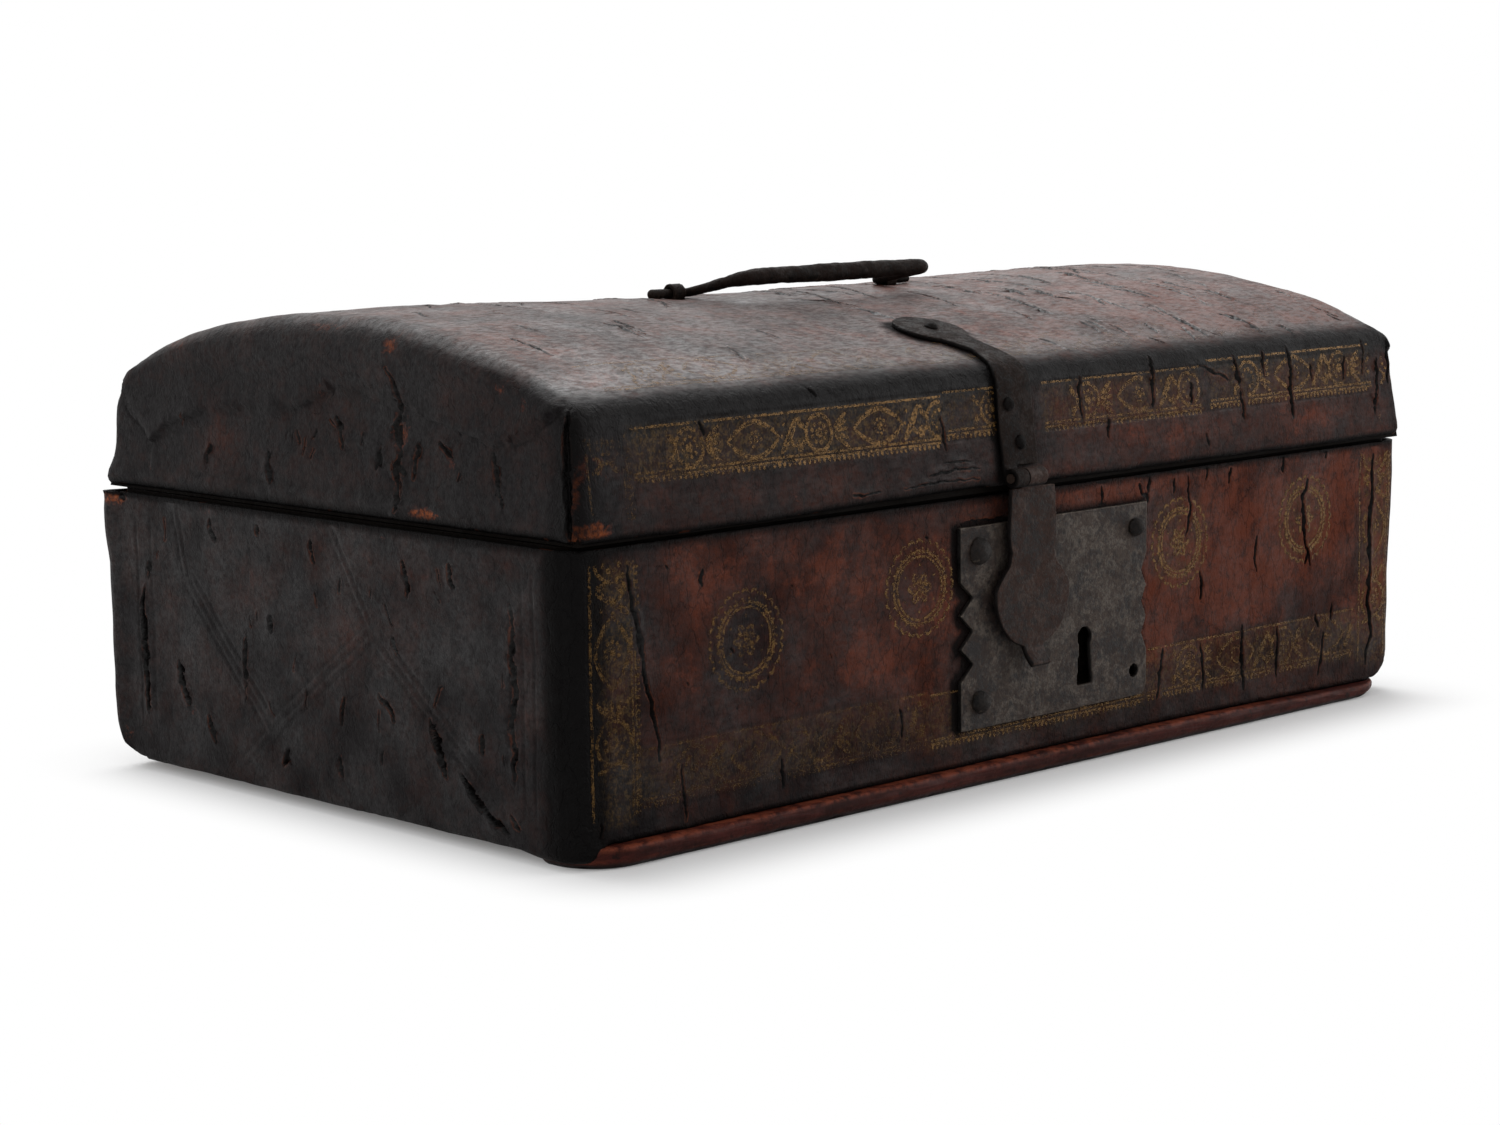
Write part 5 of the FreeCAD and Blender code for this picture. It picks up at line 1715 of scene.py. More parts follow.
@dataclass(frozen=True)
class PaperLook:
    """Colours of the old paper that lines the box."""

    light: str = "a8916a"
    dark: str = "6f5a3c"
    spot: str = "4a3521"

    def make(self, groups: Groups) -> bpy.types.Material:
        """Returns the lining paper material.

        Args:
            groups: The shared effects.

        Returns:
            The material.
        """
        finish = Finish("lining_paper", Specular_IOR_Level=0.2, Roughness=0.88)
        board, place = finish.board, finish.place
        broad, = finish.use(groups.mottle, place, 45.0, 0.2, 0.4)
        spots, = finish.use(groups.mottle, place, 7.0, 0.85, 0.3)
        laid, streak = finish.use(groups.fibre, board.stretch(place, (1.0, 0.04, 0.04)), 1.2, 0.4)
        crease, _ = finish.use(groups.craze, place, 38.0, 0.01, 0.4)
        finish.set(Base_Color=board.layers(
            board.blend(broad, self.dark, self.light), (spots * 0.22, self.spot),
            (streak * 0.12, self.dark), (crease * 0.5, self.spot)))
        return finish.bump((laid, 0.12), (finish.noise(14.0, 5.0), 1.2))


# Gilt borders

class Repeat(Enum):
    """How a gilt unit is repeated."""

    ROW = "row"
    RING = "ring"


class Repeater:
    """The two trees that repeat a unit in a row or in a ring."""

    def __init__(self) -> None:
        """Builds both trees."""
        self.trees = {kind: self._tree(kind) for kind in Repeat}

    @staticmethod
    def _tree(kind: Repeat) -> bpy.types.NodeTree:
        """Builds one tree with named inputs for count, spacing and finish.

        Args:
            kind: The way in which it repeats.

        Returns:
            The tree.
        """
        tree = bpy.data.node_groups.new("Repeat in a " + kind.value, "GeometryNodeTree")
        for name, socket in (("Unit", "Geometry"), ("Count", "Int"), ("Spacing", "Float"),
                             ("Finish", "Material"), ("Result", "Geometry")):
            tree.interface.new_socket(name, in_out="OUTPUT" if name == "Result" else "INPUT",
                                      socket_type="NodeSocket" + socket)
        board = Board(tree)
        given = board.add("NodeGroupInput")
        count, spacing = given.outputs["Count"], given.outputs["Spacing"]
        if kind is Repeat.ROW:
            step = board.add("ShaderNodeCombineXYZ", {0: spacing}).outputs[0]
            places = board.add("GeometryNodeMeshLine", {"Count": count, "Offset": step},
                               mode="OFFSET")
            turn = board.add("FunctionNodeInputVector").outputs[0]
        else:
            places = board.add("GeometryNodeMeshCircle", {"Vertices": count, "Radius": spacing})
            share = board.math("DIVIDE", board.add("GeometryNodeInputIndex").outputs[0], count)
            turn = board.add("ShaderNodeCombineXYZ",
                             {2: share * (2 * math.pi)}).outputs[0]
        copies = board.add("GeometryNodeInstanceOnPoints", {
            "Points": places.outputs["Mesh"], "Instance": given.outputs["Unit"], "Rotation": turn})
        real = board.add("GeometryNodeRealizeInstances", {"Geometry": copies.outputs[0]})
        done = board.add("GeometryNodeSetMaterial", {"Geometry": real.outputs[0],
                                                     "Material": given.outputs["Finish"]})
        board.add("NodeGroupOutput", {0: done.outputs[0]})
        return tree

    def copies(self, unit: "Drawing", kind: Repeat, count: int, spacing: float,
               finish: bpy.types.Material) -> "Drawing":
        """Repeats a flat drawing.

        Args:
            unit: The drawing.
            kind: In a row or in a ring.
            count: Number of copies.
            spacing: Pitch of the row or radius of the ring.
            finish: Material of the result.

        Returns:
            The repeated drawing.
        """
        piece = make_mesh("gilt_unit", unit.points() / MM, unit.faces)
        modifier = piece.modifiers.new("repeat", "NODES")
        modifier.node_group = self.trees[kind]
        values = {"Count": count, "Spacing": spacing, "Finish": finish}
        for item in self.trees[kind].interface.items_tree:
            if item.in_out == "INPUT" and item.name in values:
                modifier[item.identifier] = values[item.name]
        baked(piece)
        result = Drawing()
        result.runs = [corners(piece)[:, :2] * MM]
        result.faces = [tuple(face.vertices) for face in piece.data.polygons]
        bpy.data.objects.remove(piece)
        return result


class Drawing:
    """A flat drawing in millimetres, made of thin strokes, dots and rings."""

    weight = 1.7

    def __init__(self) -> None:
        """Starts empty."""
        self.runs: list[np.ndarray] = []
        self.faces: list[tuple[int, ...]] = []

    def _count(self) -> int:
        """Returns how many corners are drawn so far."""
        return sum(len(run) for run in self.runs)

    def points(self) -> np.ndarray:
        """Returns the corners with a third coordinate of zero."""
        flat = np.vstack(self.runs)
        return np.column_stack((flat, np.zeros(len(flat))))

    def stroke(self, path: Path, width: float = 0.8, ends: float = 0.35,
               closed: bool = False) -> "Drawing":
        """Draws a smooth stroke that narrows at its ends.

        Args:
            path: Points that it goes through.
            width: Width in the middle.
            ends: Share of the width that is left at the ends.
            closed: Whether the ends join.

        Returns:
            This drawing.
        """
        width *= self.weight
        line = bend(path, 0.9)
        heading = np.gradient(line, axis=0)
        heading /= np.maximum(np.linalg.norm(heading, axis=1, keepdims=True), 1e-6)
        aside = np.column_stack((-heading[:, 1], heading[:, 0]))
        part = np.linspace(0.0, 1.0, len(line))
        full = 1.0 if closed else ends + (1 - ends) * np.sin(np.pi * part) ** 0.5
        half = (0.5 * width * np.ones(len(line)) * full)[:, None]
        first, count = self._count(), len(line)
        self.runs.append(np.vstack((line + aside * half, line - aside * half)))
        self.faces += [(first + n, first + count + n, first + count + n + 1, first + n + 1)
                       for n in range(count - 1)]
        return self

    def arc(self, middle: tuple[float, float], radius: float, start: float = 0.0,
            stop: float = 360.0, width: float = 0.8) -> "Drawing":
        """Draws part of a ring, from start to stop in degrees.

        Args:
            middle: Its middle, across and up.
            radius: Its radius.
            start: First angle in degrees.
            stop: Last angle in degrees.
            width: Width of the line.

        Returns:
            The drawing.
        """
        angles = np.radians(np.linspace(start, stop, max(6, int(abs(stop - start) / 22))))
        path = tuple((middle[0] + radius * math.cos(a), middle[1] + radius * math.sin(a))
                     for a in angles)
        return self.stroke(path, width, closed=abs(stop - start) > 350)

    def dot(self, middle: tuple[float, float], radius: float, sides: int = 7,
            long: float = 1.0) -> "Drawing":
        """Draws a filled dot, longer than wide where long is over 1.

        Args:
            middle: Its middle, across and up.
            radius: Its radius.
            sides: Number of its sides.
            long: Its length over its width.

        Returns:
            The drawing.
        """
        first = self._count()
        angles = np.linspace(0.0, 2 * math.pi, sides, endpoint=False)
        self.runs.append(np.column_stack((middle[0] + radius * long * np.cos(angles),
                                          middle[1] + radius * np.sin(angles))))
        self.faces.append(tuple(range(first, first + sides)))
        return self

    def add(self, other: "Drawing", shift: tuple[float, float] = (0.0, 0.0), scale: float = 1.0,
            turn: float = 0.0) -> "Drawing":
        """Adds a shifted, scaled and turned copy of another drawing.

        Args:
            other: The other drawing.
            shift: How far the copy moves.
            scale: How many times as large it is.
            turn: How far it turns, in radians.

        Returns:
            The drawing.
        """
        first = self._count()
        cos, sin = math.cos(turn) * scale, math.sin(turn) * scale
        flat = other.points()[:, :2] @ np.array(((cos, sin), (-sin, cos))) + shift
        self.runs.append(flat)
        self.faces += [tuple(n + first for n in face) for face in other.faces]
        return self


@dataclass
class GiltWork:
    """The worn gilt borders and medallions of one cover."""

    body: str
    skin: bpy.types.Object
    finish: bpy.types.Material
    repeater: Repeater
    pitch: float = 53.0
    lift: float = 0.09
    pieces: list[tuple[Drawing, Side, float]] = field(default_factory=list)

    def rosette(self, radius: float) -> Drawing:
        """Draws a round flower, its middle and petals filled."""
        ring = self.repeater.copies(Drawing().dot((0.0, 0.0), radius * 0.2, 6), Repeat.RING, 9,
                                    radius * 0.76, self.finish)
        return Drawing().add(ring).dot((0.0, 0.0), radius * 0.42, 9)

    def scroll(self, height: float) -> Drawing:
        """Draws one length of the scrolling border, centred on its first flower.

        Args:
            height: Its height.

        Returns:
            The drawing.
        """
        up, far = height / 2, self.pitch / 2
        unit = Drawing().add(self.rosette(up * 0.66)).arc((0.0, 0.0), up * 0.93, width=0.75)
        for hand in (-1.0, 1.0):
            unit.stroke(((-5.2, hand * up * 0.3), (-7.4, hand * up * 0.5),
                         (-8.2, hand * up * 0.9)), 1.1)
            unit.stroke(((far - 11.5, 0.0), (far - 7.0, hand * up * 0.55),
                         (far, hand * up * 0.92), (far + 6.5, hand * up * 0.5), (far + 10.0, 0.0)),
                        0.95)
        for tip in (-0.9, -0.42, 0.08, 0.5, 0.9):
            unit.stroke(((6.6, tip * up * 0.22), (9.2, tip * up * 0.62), (12.4, tip * up)), 0.85)
        unit.add(self.rosette(up * 0.52), (far, 0.0)).dot((far + 11.0, 0.0), 0.6)
        unit.stroke(((far + 10.2, -up * 0.88), (far + 13.4, -up * 0.2),
                     (far + 17.6, up * 0.9)), 1.5)
        unit.stroke(((far + 13.6, -up * 0.1), (far + 16.4, -up * 0.55),
                     (far + 18.6, -up * 0.2)), 0.9)
        unit.dot((far + 12.0, up * 0.62), 0.65).dot((far + 17.4, -up * 0.75), 0.6)
        return unit

    def border(self, length: float, height: float, teeth: bool = True) -> Drawing:
        """Draws a border of a given length, starting at zero.

        Args:
            length: Its length.
            height: Its height.
            teeth: Whether small teeth run along its edges.

        Returns:
            The drawing.
        """
        count = max(1, round(length / self.pitch + 0.5))
        strip = Drawing()
        row = self.repeater.copies(self.scroll(height), Repeat.ROW, count, self.pitch, self.finish)
        strip.add(row, (self.pitch * 0.42, 0.0))
        lines = Drawing()
        for place in np.arange(0.0, length, 40.0):
            stop = min(length, place + 40.4)
            for level in (height / 2 + 1.1, -height / 2 - 0.2, -height / 2 - 1.5):
                lines.stroke(((place, level), (stop, level)), 0.45, 1.0)
        strip.add(lines)
        if teeth:
            tooth = Drawing().stroke(((0.0, 0.0), (0.35, -1.5)), 0.85)
            strip.add(self.repeater.copies(tooth, Repeat.ROW, int(length / 2.1), 2.1, self.finish),
                      (0.6, -height / 2 - 1.7))
        strip.runs = [np.vstack(strip.runs)]
        keep = strip.runs[0][:, 0]
        strip.faces = [face for face in strip.faces
                       if all(-0.5 < keep[n] < length + 0.5 for n in face)]
        return strip

    def medallion(self, radius: float = 15.0) -> Drawing:
        """Draws a round medallion with a scalloped edge and a small flower.

        Args:
            radius: Its radius.

        Returns:
            The drawing.
        """
        scallop = Drawing().arc((0, 0), 1.5, -80, 80, 0.6)
        petal = Drawing().stroke(((1.2, 0), (3.2, 1.1), (5.4, 0)), 0.7)
        petal.stroke(((1.2, 0), (3.2, -1.1), (5.4, 0)), 0.7)
        copies = self.repeater.copies
        whole = Drawing().add(copies(scallop, Repeat.RING, 24, radius - 1.2, self.finish))
        whole.add(copies(Drawing().dot((0, 0), 0.42), Repeat.RING, 30, radius - 2.5, self.finish))
        whole.arc((0, 0), radius - 3.5, width=0.7).arc((0, 0), radius - 5.0, width=0.5)
        flower = Drawing()
        for place in range(6):
            flower.add(petal, turn=place * math.pi / 3)
        whole.add(flower).dot((0, 0), 1.0)
        whole.add(copies(Drawing().dot((0, 0), 0.5), Repeat.RING, 6, 7.4, self.finish), turn=0.5)
        return whole

    def put(self, drawing: Drawing, side: Side, at: tuple[float, float], turn: float = 0.0,
            kept: float = 0.6, slope: float = 0.0) -> None:
        """Places a drawing on a side.

        Args:
            drawing: What to place.
            side: Where it goes.
            at: Flat place of its start or centre.
            turn: Turn in radians.
            kept: How much gilt is left, from 0 to 1.
            slope: How much more is left per 100 mm across.
        """
        placed = Drawing().add(drawing, at, turn=turn)
        self.pieces.append((placed, side, kept, slope))

    def build(self, name: str) -> bpy.types.Object:
        """Lays every drawing on the leather as one piece.

        Args:
            name: Its name.

        Returns:
            The piece.
        """
        surface = Surface.of(self.skin)
        gaps, inner = stored(self.skin, "gap"), stored(self.skin, "hem")
        torn = [min(gaps[n] for n in face.vertices) < 0.05 or
                max(inner[n] for n in face.vertices) > 0.5 for face in self.skin.data.polygons]
        points, faces, kept = [], [], []
        for drawing, side, left, slope in self.pieces:
            flat, base = drawing.points()[:, :2], len(points)
            good = []
            for across, up in flat:
                hit, normal, face, _ = surface.tree.ray_cast(side.outside(across, up), side.look)
                good.append(hit is not None and not torn[face] and normal.dot(side.look) < -0.25)
                points.append(tuple(hit + normal * self.lift) if hit else (0.0, 0.0, 0.0))
                kept.append(left + slope * across / 100.0)
            faces += [tuple(n + base for n in face) for face in drawing.faces
                      if all(good[n] for n in face)]
        piece = make_mesh(name, np.array(points), faces)
        write_value(piece, "kept", np.clip(kept, 0.0, 1.0))
        tidy = bmesh.new()
        tidy.from_mesh(piece.data)
        bmesh.ops.delete(tidy, geom=[v for v in tidy.verts if not v.link_faces], context="VERTS")
        for face in tidy.faces:
            face.normal_update()
        tidy.to_mesh(piece.data)
        tidy.free()
        self._face_out(piece)
        return hand_over(piece, self.finish, self.body, "aged_leather")

    def _face_out(self, piece: bpy.types.Object) -> None:
        """Turns the faces of the gilt away from the box.

        Args:
            piece: The gold.
        """
        tidy = bmesh.new()
        tidy.from_mesh(piece.data)
        wrong = []
        tree = Surface.of(self.skin).tree
        for face in tidy.faces:
            middle = face.calc_center_median() / MM
            if face.normal.dot(tree.find_nearest(middle)[1]) < 0:
                wrong.append(face)
        bmesh.ops.reverse_faces(tidy, faces=wrong)
        tidy.to_mesh(piece.data)
        tidy.free()


# Ironwork and base board

@dataclass(frozen=True)
class Forging:
    """One piece of hand-forged iron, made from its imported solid."""

    nodes: tuple[str, ...]
    body: str
    slot: str
    voxel: float = 0.5
    wave: float = 0.16
    wave_size: float = 7.0
    ease: int = 3
    finish: str = ""
    doming: float = 1.0
    dark_sides: bool = False
    shade: float = 0.0
    trim: tuple[tuple[float, float], ...] = ()

    def _trimmed(self, points: np.ndarray) -> np.ndarray:
        """Draws the sides in or out, so that the outline has its half widths at its heights.

        Args:
            points: Places in millimetres, one row each.

        Returns:
            The trimmed places.
        """
        middle = -9.0
        levels, wanted = np.array(self.trim).T
        ratio = []
        for level, half in zip(levels, wanted):
            here = points[np.abs(points[:, 2] - level) < 0.8, 0]
            ratio.append(half / np.abs(here - middle).max() if half else 1.0)
        points[:, 0] = middle + (points[:, 0] - middle) * np.interp(points[:, 2], levels, ratio)
        return points

    def build(self, finish: bpy.types.Material) -> bpy.types.Object:
        """Softens and hammers a copy of the solid and puts it in the solid's place.

        Args:
            finish: The iron material.

        Returns:
            The forged piece.
        """
        mesh = bpy.data.meshes.new(self.nodes[0])
        piece = bpy.data.objects.new(self.nodes[0] + "_forged", mesh)
        bpy.context.scene.collection.objects.link(piece)
        joined = bmesh.new()
        for node in self.nodes:
            joined.from_mesh(frame["nodes"][node].data)
        bmesh.ops.remove_doubles(joined, verts=joined.verts, dist=2e-6)
        joined.to_mesh(piece.data)
        joined.free()
        remesh = piece.modifiers.new("remesh", "REMESH")
        remesh.mode, remesh.voxel_size = "VOXEL", self.voxel * MM
        ease = piece.modifiers.new("ease", "SMOOTH")
        ease.factor, ease.iterations = 0.5, self.ease
        baked(piece)
        points = corners(piece)
        points[:, 1] += (self.doming - 1.0) * np.minimum(points[:, 1] + 118.0, 0.0)
        if self.trim:
            points = self._trimmed(points)
            move_corners(piece, points)
        height = self.wave * clouds(points, self.wave_size, 61, 2)
        height += 0.35 * self.wave * clouds(points, self.wave_size / 3.5, 63, 2)
        facing = outward(piece)
        move_corners(piece, points + facing * height[:, None])
        shade = np.maximum(smooth(-facing[:, 0], 0.3, 0.75), smooth(-facing[:, 2], 0.45, 0.85))
        write_value(piece, "shade", np.maximum(shade * self.dark_sides, self.shade))
        return hand_over(piece, finish, self.body, self.slot, *self.nodes)


@dataclass
class Ironwork:
    """Every forged piece that shows."""

    forgings: tuple[Forging, ...] = (
        Forging(("lock_plate",), "box", "forged_iron", 0.5, 0.14, 9.0, dark_sides=True),
        Forging(("lock_plate_nails",), "box", "nail_iron", 0.3, 0.22, 3.0, 2, doming=2.3,
                shade=0.35),
        Forging(("left_hinge_lower_leaf",), "box", "forged_iron", 0.6),
        Forging(("right_hinge_lower_leaf",), "box", "forged_iron", 0.6),
        Forging(("lower_hinge_nails",), "box", "nail_iron", 0.4, 0.2, 3.0),
        Forging(("hasp", "hasp_staple"), "hasp", "forged_iron", 0.4, 0.13, 8.0, 3, "dark_iron",
                dark_sides=True, trim=(
                    (62.0, 0.0), (65.0, 15.9), (67.4, 13.9), (69.2, 12.1), (70.8, 11.2),
                    (76.0, 11.0), (80.0, 0.0))),
        Forging(("hasp_strap",), "lid", "forged_iron", 0.45, 0.15, 8.0, 3, "black_iron",
                dark_sides=True),
        Forging(("hasp_strap_nails",), "lid", "nail_iron", 0.32, 0.2, 3.0, finish="black_iron",
                shade=0.85),
        Forging(("handle_eye_left",), "lid", "forged_iron", 0.35, 0.12, 4.0, 2, "black_iron"),
        Forging(("handle_eye_right",), "lid", "forged_iron", 0.35, 0.12, 4.0, 2, "black_iron"),
        Forging(("left_hinge_upper_leaf",), "lid", "forged_iron", 0.6),
        Forging(("right_hinge_upper_leaf",), "lid", "forged_iron", 0.6),
        Forging(("upper_hinge_nails",), "lid", "nail_iron", 0.4, 0.2, 3.0),
        Forging(("handle_bail",), "handle", "forged_iron", 0.45, 0.32, 9.0, 3, "black_iron"),
    )

    def build(self, finishes: dict[str, bpy.types.Material]) -> None:
        """Builds every forging."""
        for forging in self.forgings:
            forging.build(finishes[forging.finish or forging.slot])


@dataclass
class BaseBoard:
    """The bottom board, whose worn and chipped edge stands out below the leather."""

    node: str = "base_board"
    half_length: float = 190.0
    front: float = -120.8
    back: float = 112.6
    right: float = 195.0
    front_corner: float = 21.0
    back_corner: float = 12.0
    toe: float = -198.0
    toe_corner: float = 18.0
    thick: float = 6.5

    def _plan(self) -> np.ndarray:
        """Returns stations round the board with their outward directions."""
        turns = np.radians((90.0, 120.0, 150.0, 180.0))
        heel = np.column_stack((np.cos(turns), np.sin(turns)))
        heel = np.hstack(((self.toe + 4.0, -99.0) + 4.0 * heel, heel))
        step = np.vstack(((-self.half_length, -91.0, -1.0, 0.0),
                          (-self.half_length, -95.0, -1.0, 1.0), heel))
        runs = []
        spots = ((self.right, self.back, self.back_corner, 0),
                 (-self.half_length, self.back, self.back_corner, 90),
                 (self.toe, self.front, self.toe_corner, 180),
                 (self.right, self.front, self.front_corner, 270))
        for end, edge, radius, start in spots:
            angles = np.radians(np.linspace(start, start + 90, max(5, int(radius)) + 1))
            middle = np.array((end - math.copysign(radius, end),
                               edge - math.copysign(radius, edge)))
            facing = np.column_stack((np.cos(angles), np.sin(angles)))
            runs.append(np.hstack((middle + radius * facing, facing)))
        runs.insert(2, step)
        line = []
        for run, following in zip(runs, runs[1:] + runs[:1]):
            line.append(run)
            far = np.vstack((run[-1], following[0]))
            line.append(walk(far, 2.2)[1:-1])
        return np.vstack(line)

    def build(self, finish: bpy.types.Material) -> bpy.types.Object:
        """Builds the board.

        Args:
            finish: The stained wood.

        Returns:
            The board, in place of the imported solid.
        """
        plan = self._plan()
        profile = ((3.4, 0.0), (2.5, 0.15), (1.6, 0.6), (0.9, 1.2), (0.35, 1.9), (0.05, 2.7),
                   (0.0, 3.5), (0.0, 4.4), (0.1, 5.3), (0.5, 6.1), (1.1, 6.45), (2.6, 6.5))
        rows = [np.column_stack((plan[:, :2] - plan[:, 2:] * inset, np.full(len(plan), level)))
                for inset, level in profile]
        points = np.vstack(rows)
        facing = np.tile(np.column_stack((plan[:, 2:], np.zeros(len(plan)))), (len(rows), 1))
        inset = np.repeat([inset for inset, _ in profile], len(plan))
        weight = 1.0 - smooth(inset, 0.8, 3.0)
        long = points * (0.16, 0.16, 1.0)
        bite = 0.35 * clouds(points, 26.0, 71) + 0.28 * clouds(long, 1.9, 73, 3)
        chips = smooth(clouds(points, 9.0, 75, 2), 0.38, 0.62) * smooth(np.abs(
            points[:, 2] - self.thick / 2), 1.2, 2.8)
        points -= facing * ((bite + 0.45 + 1.1 * chips) * weight)[:, None]
        ahead = smooth(-points[:, 1], 96.0, 110.0)
        points[:, 2] *= 1.0 - 0.25 * smooth(points[:, 0], 60.0, 190.0) * ahead
        end = smooth(0.72 * points[:, 0] - 0.69 * points[:, 1], 208.0, 216.0)
        points[:, 2] += 1.4 * end * (1.0 - points[:, 2] / self.thick)
        wide = len(plan)
        faces = [*rings(len(rows), wide), tuple(reversed(range(wide))),
                 tuple(range((len(rows) - 1) * wide, len(rows) * wide))]
        piece = make_mesh("worn_base_board", points, faces)
        return hand_over(piece, finish, "box", "base_wood", self.node)


# Studio

@dataclass
class Studio:
    """White floor and background, soft lamps and the camera of the photograph."""

    camera_at: tuple[float, float, float] = (-0.7687, -0.7791, 0.2131)
    yaw: float = 43.94
    pitch: float = 8.08
    roll: float = -0.73
    lens: float = 75.65
    ambient: float = 0.42
    foot: tuple[float, float] = (0.183, 0.117)
    fade: float = 0.05

    def build(self) -> None:
        """Builds the whole studio."""
        self._camera()
        self._world()
        self._floor()
        self._lamp("top_softbox", (0.25, 0.55, 1.25), (0.0, 0.0, 0.1), (1.3, 0.9), 15.0)
        self._lamp("right_softbox", (1.15, -1.05, 0.75), (0.0, -0.1, 0.05), (0.9, 0.9), 10.0)
        self._lamp("left_card", (-1.25, -0.2, 0.6), (-0.2, 0.0, 0.05), (0.7, 0.9), 3.0)

    def _camera(self) -> None:
        """Places the camera at the photograph's angle."""
        yaw, pitch, roll = (math.radians(a) for a in (self.yaw, self.pitch, self.roll))
        ahead = Vector((math.sin(yaw) * math.cos(pitch), math.cos(yaw) * math.cos(pitch),
                        -math.sin(pitch)))
        right = Vector((math.cos(yaw), -math.sin(yaw), 0.0))
        up = right.cross(ahead)
        across = right * math.cos(roll) + up * math.sin(roll)
        above = up * math.cos(roll) - right * math.sin(roll)
        data = bpy.data.cameras.new("photo_camera")
        data.lens, data.sensor_width = self.lens, 36.0
        camera = bpy.data.objects.new("photo_camera", data)
        turn = Matrix((across, above, -ahead)).transposed().to_4x4()
        camera.matrix_world = Matrix.Translation(self.camera_at) @ turn
        bpy.context.scene.collection.objects.link(camera)
        bpy.context.scene.camera = camera

    @staticmethod
    def _seen(board: Board) -> Number:
        """Returns 1 for rays from the camera, a reflection or clear glass.

        Args:
            board: The board that the nodes go on.

        Returns:
            The number.
        """
        path = board.add("ShaderNodeLightPath")
        seen = board.math("MAXIMUM", path.outputs["Is Camera Ray"], path.outputs["Is Glossy Ray"])
        return seen.larger(path.outputs["Is Transmission Ray"])

    def _world(self) -> None:
        """Makes a white background over a plain soft ambient light."""
        world = bpy.data.worlds.new("studio")
        world.use_nodes = True
        board = Board(world.node_tree)
        light = world.node_tree.nodes["Background"]
        light.inputs["Color"].default_value = (1.0, 1.0, 1.0, 1.0)
        board.join(light, "Strength", self._seen(board) * (1.0 - self.ambient) + self.ambient)
        bpy.context.scene.world = world

    def _floor(self) -> None:
        """Lays a pale floor that keeps the box's shadow."""
        far = 4000.0
        floor = make_mesh("floor", np.array(((-far, -far, 0), (far, -far, 0), (far, far, 0),
                                             (-far, far, 0))), [(0, 1, 2, 3)])
        material = bpy.data.materials.new("floor")
        material.use_nodes = True
        material.node_tree.nodes.clear()
        board = Board(material.node_tree)
        plain = board.add("ShaderNodeBsdfDiffuse", {"Color": (0.93, 0.93, 0.93, 1.0)})
        glow = board.add("ShaderNodeEmission", {"Color": (1.0, 1.0, 1.0, 1.0), "Strength": 1.0})
        place = board.add("ShaderNodeTexCoord").outputs["Object"]
        x, y = ((abs(part) - half).larger(0.0)
                for part, half in zip(board.parts(place), self.foot))
        away = board.math("SQRT", x * x + y * y)
        part = self._seen(board) * away.ramp(0.0, self.fade, 0.08, 1.0)
        mixed = board.add("ShaderNodeMixShader", {0: part, 1: plain.outputs[0],
                                                  2: glow.outputs[0]})
        board.add("ShaderNodeOutputMaterial", {"Surface": mixed.outputs[0]})
        floor.data.materials.append(material)

    @staticmethod
    def _lamp(name: str, at: tuple[float, float, float], aim: tuple[float, float, float],
              size: tuple[float, float], power: float) -> None:
        """Hangs one soft rectangular lamp.

        Args:
            name: Its name.
            at: Its place in metres.
            aim: The place that it faces.
            size: Its width and height in metres.
            power: Its power in watts.
        """
        data = bpy.data.lights.new(name, "AREA")
        data.shape, data.energy = "RECTANGLE", power
        data.size, data.size_y = size
        lamp = bpy.data.objects.new(name, data)
        lamp.location = at
        lamp.rotation_euler = (Vector(aim) - Vector(at)).to_track_quat("-Z", "Y").to_euler()
        bpy.context.scene.collection.objects.link(lamp)


# Putting it together

def make_finishes(groups: Groups) -> dict[str, bpy.types.Material]:
    """Returns every finish by the name of its material slot."""
    return {
        "aged_leather": LeatherLook().make(groups),
        "gilt": GiltLook().make(groups),
        "forged_iron": IronLook("forged_iron").make(groups),
        "dark_iron": IronLook("dark_iron", "140d0b", "33251f", "2d180f", "4f3f35", 0.14,
                              0.14).make(groups),
        "black_iron": IronLook("black_iron", "0c0908", "221a17", "1c110c", "3a2f29", 0.06,
                               0.06).make(groups),
        "lock_iron": IronLook("lock_iron", "120f0d", "2b2621", "2a1a12").make(groups),
        "nail_iron": IronLook("nail_iron", "0f0d0c", "241f1c", "20150f", "544a40").make(groups),
        "base_wood": WoodLook("base_wood", "200b08", "431b16", "743a28", 0.62, 0.08,
                              chafed_above=4.9).make(groups),
        "softwood": WoodLook("softwood", "4a3626", "735840", "8d7050", edge_shade=0.98).make(groups),
        "lining_paper": PaperLook().make(groups),
    }


def dress_nodes(finishes: dict[str, bpy.types.Material]) -> None:
    """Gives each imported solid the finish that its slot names."""
    for name, node in frame["nodes"].items():
        for slot in node.material_slots:
            base = slot.material.name.split(".")[0]
            if base in finishes:
                slot.material = finishes["black_iron" if name.endswith("_pin") else base]
            else:
                LOG.warning("%s has no finish called %s", name, base)


